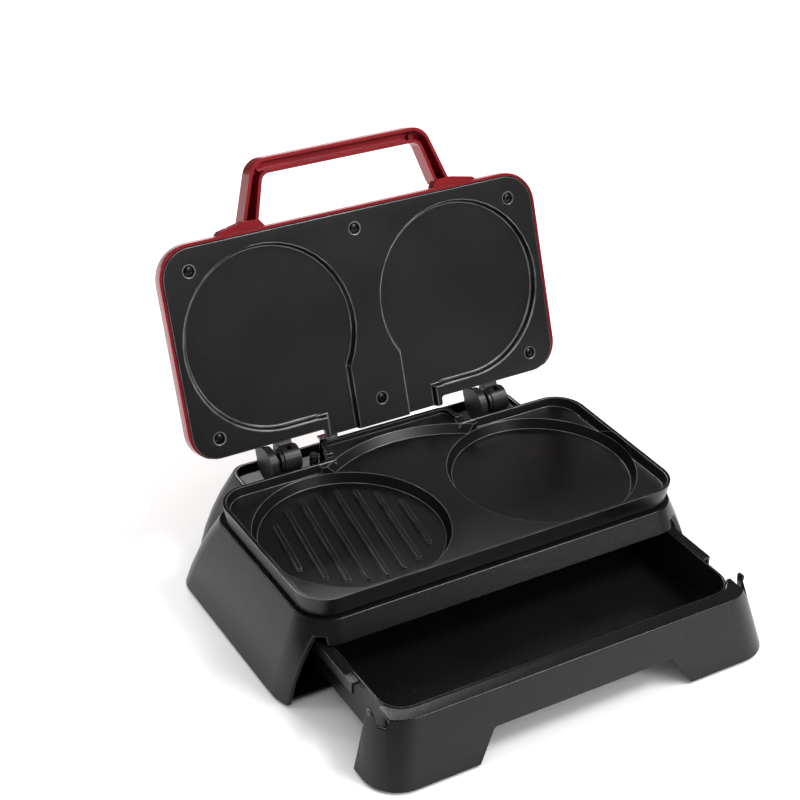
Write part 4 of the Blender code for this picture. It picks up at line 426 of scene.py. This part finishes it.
# %% [markdown]
# ## From CAD solids to moulded pieces
# A CAD solid arrives as triangles with knife-sharp edges. `polish` merges the flat triangles back
# into whole faces, rounds every edge that turns by more than an angle, marks the rounded faces for the
# shaders and shades the result smooth. The new piece stands for its node and rides on the same body.

# %% Polish one solid
# Faces that differ by less than FLAT are one face, and edges over SHARP are rounded. The lid's dome is
# drawn with a few slopes, so only its rim counts as sharp and the rest is shaded as one curve.
FLAT, SHARP, CREASE = math.radians(0.7), math.radians(24), math.radians(40)
SOFT_NODES = {"lid_shell": math.radians(52)}
SEGMENTS, ROUND_PROFILE = 2, 0.5
# An edge has room when both its faces are on average this many bevels wide, and a bevel is kept when
# it moved the solid's area and volume by less than this share.
ROOM_SHARE, MOST_MOVED = 2.2, 0.012
COARSE_WELD, FINE_WELD = 0.2 * MM, 0.02 * MM
# Tried in this order: weld distance, share of the bevel's width, and whether the bevel is clamped.
ROUNDINGS = (
    (COARSE_WELD, 1.0, False),
    (FINE_WELD, 1.0, False),
    (COARSE_WELD, 0.5, False),
    (FINE_WELD, 0.5, False),
    (COARSE_WELD, 1.0, True),
    (FINE_WELD, 1.0, True),
)
FACE_COUNTS = {}


def finish_piece(piece, *nodes):
    """Gives a piece its material and slot, and puts it on the body of the nodes that it replaces."""
    look = FINISH_OF[nodes[0]]
    piece.data.materials.clear()
    piece.data.materials.append(FINISHES[look])
    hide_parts(*nodes)
    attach(piece, BODY_OF[nodes[0]])
    FACE_COUNTS[piece.name] = len(piece.data.polygons)


def solid_of(node, weld):
    """The node's mesh as a bmesh in world place, with its flat triangles merged into whole faces."""
    bm = bmesh.new()
    bm.from_mesh(NODES[node].data)
    bmesh.ops.remove_doubles(bm, verts=bm.verts, dist=weld)
    bmesh.ops.dissolve_limit(bm, angle_limit=FLAT, verts=bm.verts, edges=bm.edges)
    bm.normal_update()
    return bm


def has_room(edge, width):
    """Whether both faces beside an edge are wide enough for a bevel of this width."""
    return all(face.calc_area() / edge.calc_length() > ROOM_SHARE * width for face in edge.link_faces)


def area_of(bm):
    return sum(face.calc_area() for face in bm.faces)


def bevelled(node, weld, width, clamp):
    """The solid with its roomy sharp edges rounded, and the share by which area or volume moved."""
    bm = solid_of(node, weld)
    area, volume = area_of(bm), bm.calc_volume()
    mark = bm.faces.layers.float.new("edge")
    least = SOFT_NODES.get(node, SHARP)
    sharp = [
        e for e in bm.edges if e.is_manifold and e.calc_face_angle() > least and has_room(e, width)
    ]
    rounded = bmesh.ops.bevel(
        bm,
        geom=sharp,
        offset=width,
        offset_type="OFFSET",
        segments=SEGMENTS,
        profile=ROUND_PROFILE,
        affect="EDGES",
        clamp_overlap=clamp,
        loop_slide=True,
        harden_normals=False,
    )
    for face in rounded["faces"]:
        face[mark] = 1.0
    many_sided = [face for face in bm.faces if len(face.verts) > 4]
    bmesh.ops.triangulate(bm, faces=many_sided, ngon_method="BEAUTY")
    moved = abs(area_of(bm) / area - 1), abs(bm.calc_volume() / volume - 1)
    return bm, max(moved)


def polish(node, width):
    """Makes the node's new piece, rounded in the first way that hardly moves its area and volume."""
    for attempt in ROUNDINGS:
        weld, share, clamp = attempt
        bm, moved = bevelled(node, weld, width * share, clamp)
        if moved < MOST_MOVED or attempt == ROUNDINGS[-1]:
            break
        bm.free()
    for face in bm.faces:
        face.smooth = True
    crease = max(SOFT_NODES.get(node, 0), CREASE)
    for edge in bm.edges:
        edge.smooth = edge.is_manifold and edge.calc_face_angle() < crease
    mesh = bpy.data.meshes.new(f"{node}_shape")
    bm.to_mesh(mesh)
    bm.free()
    piece = in_scene(f"{node}_piece", mesh)
    weigh = piece.modifiers.new("even_normals", "WEIGHTED_NORMAL")
    weigh.keep_sharp = True
    print(f"{node}: bevel {width * share / MM:.2f} mm, clamp {clamp}, moved {moved:.4f}")
    finish_piece(piece, node)


# %% [markdown]
# A bevel's width goes with the way a piece is made: moulded plastic is rounder than cut sheet metal.
# The lid's and the cover's screws are left out here, because the next step sets new ones.

# %% Polish every node
# Bevel widths in millimetres.
WIDTHS = {
    "shell_black": 0.6,
    "hinge_black": 0.4,
    "plate_coating": 0.5,
    "lid_red": 0.5,
    "screw_black": 0.15,
    "steel": 0.15,
    "element_sheath": 0.2,
    "rubber_black": 0.4,
    "ceramic_white": 0.3,
    "lens_red": 0.3,
    "lens_green": 0.3,
}
LID_SCREWS = sorted(node for node in NODES if node.startswith("lid_screw"))
COVER_SCREWS = sorted(node for node in NODES if node.startswith("cover_screw"))
for node in sorted(NODES):
    if node not in LID_SCREWS + COVER_SCREWS:
        polish(node, WIDTHS[FINISH_OF[node]] * MM)
print("pieces", len(FACE_COUNTS), "faces", sum(FACE_COUNTS.values()))

# %% [markdown]
# ## Screws with Geometry Nodes
# One cross-head screw is modelled, and a node group sets a copy on every point of a small mesh. A
# seeded random twist keeps the crosses from lining up. The result is read back as one plain mesh.

# %% One cross-head screw
SCREW_SIDES = 40
SCREW_CREASE = math.radians(35)
# Shares of the head's radius: the crown's height, and the cross's length, width and depth.
CROWN_HEIGHT, CROSS_LENGTH, CROSS_WIDTH, CROSS_DEPTH = 0.55, 1.25, 0.26, 0.9
CROSS_TAPER = 0.6
# The crown's curve in degrees above the head's side, and the shank's tip as shares of its size.
CROWN_START, CROWN_STEP, CROWN_RINGS = 12, 11, 7
TIP_RADIUS, TIP_START = 0.3, 0.9


def circle(sides):
    return [2 * math.pi * i / sides for i in range(sides)]


def skin(bm, rings):
    """Faces between neighbouring rings of points, and a face to close either end."""
    sides = len(rings[0])
    for low, high in zip(rings, rings[1:]):
        for i in range(sides):
            j = (i + 1) % sides
            bm.faces.new((low[i], low[j], high[j], high[i]))
    bm.faces.new(list(reversed(rings[0])))
    bm.faces.new(rings[-1])


def lathe(bm, profile):
    """Faces of a profile of (radius, height) pairs turned about Z."""
    rings = []
    for radius, height in profile:
        spots = [(radius * math.cos(a), radius * math.sin(a), height) for a in circle(SCREW_SIDES)]
        rings.append([bm.verts.new(spot) for spot in spots])
    skin(bm, rings)


def as_plain_mesh(made):
    """Gives the object the mesh that its modifiers make, and drops the modifiers."""
    result = made.evaluated_get(bpy.context.evaluated_depsgraph_get())
    plain = bpy.data.meshes.new_from_object(result)
    made.modifiers.clear()
    made.data = plain


def cross_screw(name, head, shank, length):
    """A screw whose crown is at the origin and faces +Z; head and shank are radii."""
    crown = CROWN_HEIGHT * head
    tip = (TIP_RADIUS * shank, -length)
    profile = [tip, (shank, -TIP_START * length), (shank, -crown), (head, -crown)]
    widest = math.cos(math.radians(CROWN_START))
    for step in range(CROWN_RINGS):
        angle = math.radians(CROWN_START + CROWN_STEP * step)
        profile.append((head * math.cos(angle) / widest, -crown * (1 - math.sin(angle))))
    bm = bmesh.new()
    lathe(bm, profile)
    screw = in_scene(name, bpy.data.meshes.new(name))
    bm.to_mesh(screw.data)
    bm.clear()
    for size in ((CROSS_LENGTH, CROSS_WIDTH), (CROSS_WIDTH, CROSS_LENGTH)):
        cutter = bmesh.ops.create_cube(bm, size=1)["verts"]
        bmesh.ops.scale(bm, vec=(size[0] * head, size[1] * head, CROSS_DEPTH * head), verts=cutter)
        tips = [v for v in cutter if v.co.z < 0]
        bmesh.ops.scale(bm, vec=(CROSS_TAPER, CROSS_TAPER, 1), verts=tips)
    recess = in_scene(f"{name}_recess", bpy.data.meshes.new(f"{name}_recess"))
    bm.to_mesh(recess.data)
    bm.free()
    drill = screw.modifiers.new("drill", "BOOLEAN")
    drill.object, drill.solver, drill.use_self = recess, "EXACT", True
    as_plain_mesh(screw)
    bpy.data.objects.remove(recess)
    screw.data.shade_smooth()
    screw.data.set_sharp_from_angle(angle=SCREW_CREASE)
    print(name, "faces", len(screw.data.polygons))
    return screw


# %% [markdown]
# The node group turns each copy to its surface, twists it by a random angle, makes the copies real
# and gives them their material.

# %% The node group that sets copies on points


def copies_group():
    group = bpy.data.node_groups.new("copies_on_points", "GeometryNodeTree")
    for label, kind in (
        ("Points", "NodeSocketGeometry"),
        ("Fastener", "NodeSocketObject"),
        ("Tilt", "NodeSocketVector"),
        ("Most Twist", "NodeSocketFloat"),
        ("Seed", "NodeSocketInt"),
        ("Finish", "NodeSocketMaterial"),
    ):
        group.interface.new_socket(label, in_out="INPUT", socket_type=kind)
    group.interface.new_socket("Geometry", in_out="OUTPUT", socket_type="NodeSocketGeometry")

    def add(kind, **fed):
        node = group.nodes.new(kind)
        for label, source in fed.items():
            group.links.new(source, node.inputs[label.replace("_", " ")])
        return node

    given = group.nodes.new("NodeGroupInput").outputs
    points = add("GeometryNodeMeshToPoints", Mesh=given["Points"])
    fastener = add("GeometryNodeObjectInfo", Object=given["Fastener"])
    placed = add(
        "GeometryNodeInstanceOnPoints",
        Points=points.outputs[0],
        Instance=fastener.outputs["Geometry"],
        Rotation=given["Tilt"],
    )
    chance = group.nodes.new("FunctionNodeRandomValue")
    chance.data_type = "FLOAT"
    group.links.new(given["Most Twist"], chance.inputs[3])
    group.links.new(given["Seed"], chance.inputs["Seed"])
    twist = add("ShaderNodeCombineXYZ", Z=chance.outputs[1])
    twisted = add("GeometryNodeRotateInstances", Instances=placed.outputs[0], Rotation=twist.outputs[0])
    real = add("GeometryNodeRealizeInstances", Geometry=twisted.outputs[0])
    painted = add("GeometryNodeSetMaterial", Geometry=real.outputs[0], Material=given["Finish"])
    out = group.nodes.new("NodeGroupOutput")
    group.links.new(painted.outputs[0], out.inputs[0])
    return group


COPIES = copies_group()
INPUTS = [item for item in COPIES.interface.items_tree if item.in_out == "INPUT"]
SOCKET = {item.name: item.identifier for item in INPUTS}
print("inputs of the group", sorted(SOCKET))

# %% [markdown]
# The lid's screws are set in the frame of the closed lid, which the hinge's place and the opening
# angle carry to where the lid stands. A screw's crown is the lowest point of the CAD screw there.

# %% Screws of the lid and of the bottom cover
HINGE = Vector((0, 0.08536, 0.0747))
OPENING = math.radians(110.2)
LID_FRAME = Matrix.Translation(HINGE) @ Matrix.Rotation(-OPENING, 4, "X")
# Head radius, shank radius and length, and the seed of the twists.
LID_SCREW, LID_SEED = (3.7 * MM, 1.7 * MM, 9 * MM), 4
COVER_SCREW, COVER_SEED = (3.2 * MM, 1.7 * MM, 10 * MM), 9


def crown_of(node, frame_matrix):
    """Middle of a screw's head in world place; the head faces -Z of the given frame."""
    back_to = frame_matrix.inverted()
    spots = [back_to @ v.co for v in NODES[node].data.vertices]
    low = min(v.z for v in spots)
    middle = sum((v for v in spots), Vector()) / len(spots)
    return frame_matrix @ Vector((middle.x, middle.y, low))


def set_screws(name, nodes, frame_matrix, measures, seed):
    """One piece with a cross-head screw in the place of each of the nodes."""
    source = cross_screw(f"{name}_source", *measures)
    carrier = bpy.data.meshes.new(name)
    carrier.from_pydata([crown_of(node, frame_matrix) for node in nodes], [], [])
    holder = in_scene(name, carrier)
    modifier = holder.modifiers.new("copies", "NODES")
    modifier.node_group = COPIES
    heads_down = frame_matrix.to_euler().x + math.pi
    given = {
        "Fastener": source,
        "Tilt": (heads_down, 0, 0),
        "Most Twist": math.pi / 2,
        "Seed": seed,
        "Finish": FINISHES["screw_black"],
    }
    for label, value in given.items():
        modifier[SOCKET[label]] = value
    as_plain_mesh(holder)
    bpy.data.objects.remove(source)
    print(name, "faces", len(holder.data.polygons))
    finish_piece(holder, *nodes)


set_screws("lid_screw_set", LID_SCREWS, LID_FRAME, LID_SCREW, LID_SEED)
set_screws("cover_screw_set", COVER_SCREWS, Matrix(), COVER_SCREW, COVER_SEED)

# %% [markdown]
# ## Beads on the lid plate
# Each round recess of the lid has a double bead along its hinge side, which fades out up the outer
# side. A circle swept along a path of points, with a radius for each point, makes it.

# %% Sweep the beads
# Measured in the closed lid's frame: the plate's face, the right recess's middle, and for each bead its
# distance from that middle and its depth below the face.
FACE_Z = -0.4 * MM
RECESS_CENTRE = Vector((74 * MM, -83.7 * MM))
BEADS = ((63.4 * MM, 0.7 * MM), (60.6 * MM, 3.7 * MM))
BEAD_START_X = 47 * MM
BEAD_RADIUS = 0.9 * MM
BEAD_SIDES = 14
STRAIGHT_STEPS, CURVED_STEPS = 8, 48
FIRST_ANGLE, SWEEP = 90, 118
# Shares of a bead's length over which its start is rounded, and after which it fades. The last two
# are the shares of the radius that are left at its start and at its end.
ROUNDED_UNTIL, FADES_FROM = 0.02, 0.45
START_RADIUS, END_RADIUS = 0.05, 0.04


def swept(name, path, radii):
    """A piece of the lid: a closed tube along a path, with a radius for each of its points."""
    bm = bmesh.new()
    rings = []
    out = (LID_FRAME.to_3x3() @ Vector((0, 0, -1))).normalized()
    for i, point in enumerate(path):
        along = (path[min(i + 1, len(path) - 1)] - path[max(i - 1, 0)]).normalized()
        aside = along.cross(out).normalized()
        spokes = [aside * math.cos(a) + out * math.sin(a) for a in circle(BEAD_SIDES)]
        rings.append([bm.verts.new(point + radii[i] * spoke) for spoke in spokes])
    skin(bm, rings)
    bmesh.ops.recalc_face_normals(bm, faces=bm.faces)
    # Every face of a bead is marked as an edge, so the plate coating paints the whole bead lighter: a
    # painted highlight along the bead.
    mark = bm.faces.layers.float.new("edge")
    for face in bm.faces:
        face.smooth = True
        face[mark] = 1.0
    mesh = bpy.data.meshes.new(name)
    bm.to_mesh(mesh)
    bm.free()
    piece = in_scene(name, mesh)
    mesh.materials.append(FINISHES["plate_coating"])
    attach(piece, "lid")


def bead_path(side, radius, depth):
    """Straight from beside the neck, then round the recess to its outer side, mirrored by side."""
    centre, straight = RECESS_CENTRE, RECESS_CENTRE.x - BEAD_START_X
    flat = []
    for step in range(STRAIGHT_STEPS):
        flat.append((BEAD_START_X + straight * step / STRAIGHT_STEPS, centre.y + radius))
    for step in range(CURVED_STEPS + 1):
        angle = math.radians(FIRST_ANGLE - SWEEP * step / CURVED_STEPS)
        flat.append((centre.x + radius * math.cos(angle), centre.y + radius * math.sin(angle)))
    return [LID_FRAME @ Vector((side * x, y, FACE_Z + depth)) for x, y in flat]


def bead_radii(count):
    """Radii that are rounded at the start, full along the hinge side and taper off at the end."""
    radii = []
    for i in range(count):
        share = i / (count - 1)
        start = min(1, math.sqrt(share / ROUNDED_UNTIL) + START_RADIUS)
        fade = min(1, max(END_RADIUS, 1 - (share - FADES_FROM) / (1 - FADES_FROM)))
        radii.append(BEAD_RADIUS * start * fade)
    return radii


for label, side in (("left", -1), ("right", 1)):
    for order, (radius, depth) in enumerate(BEADS):
        path = bead_path(side, radius, depth)
        swept(f"plate_bead_{label}_{order}", path, bead_radii(len(path)))
        print(f"plate_bead_{label}_{order}: {len(path)} points")
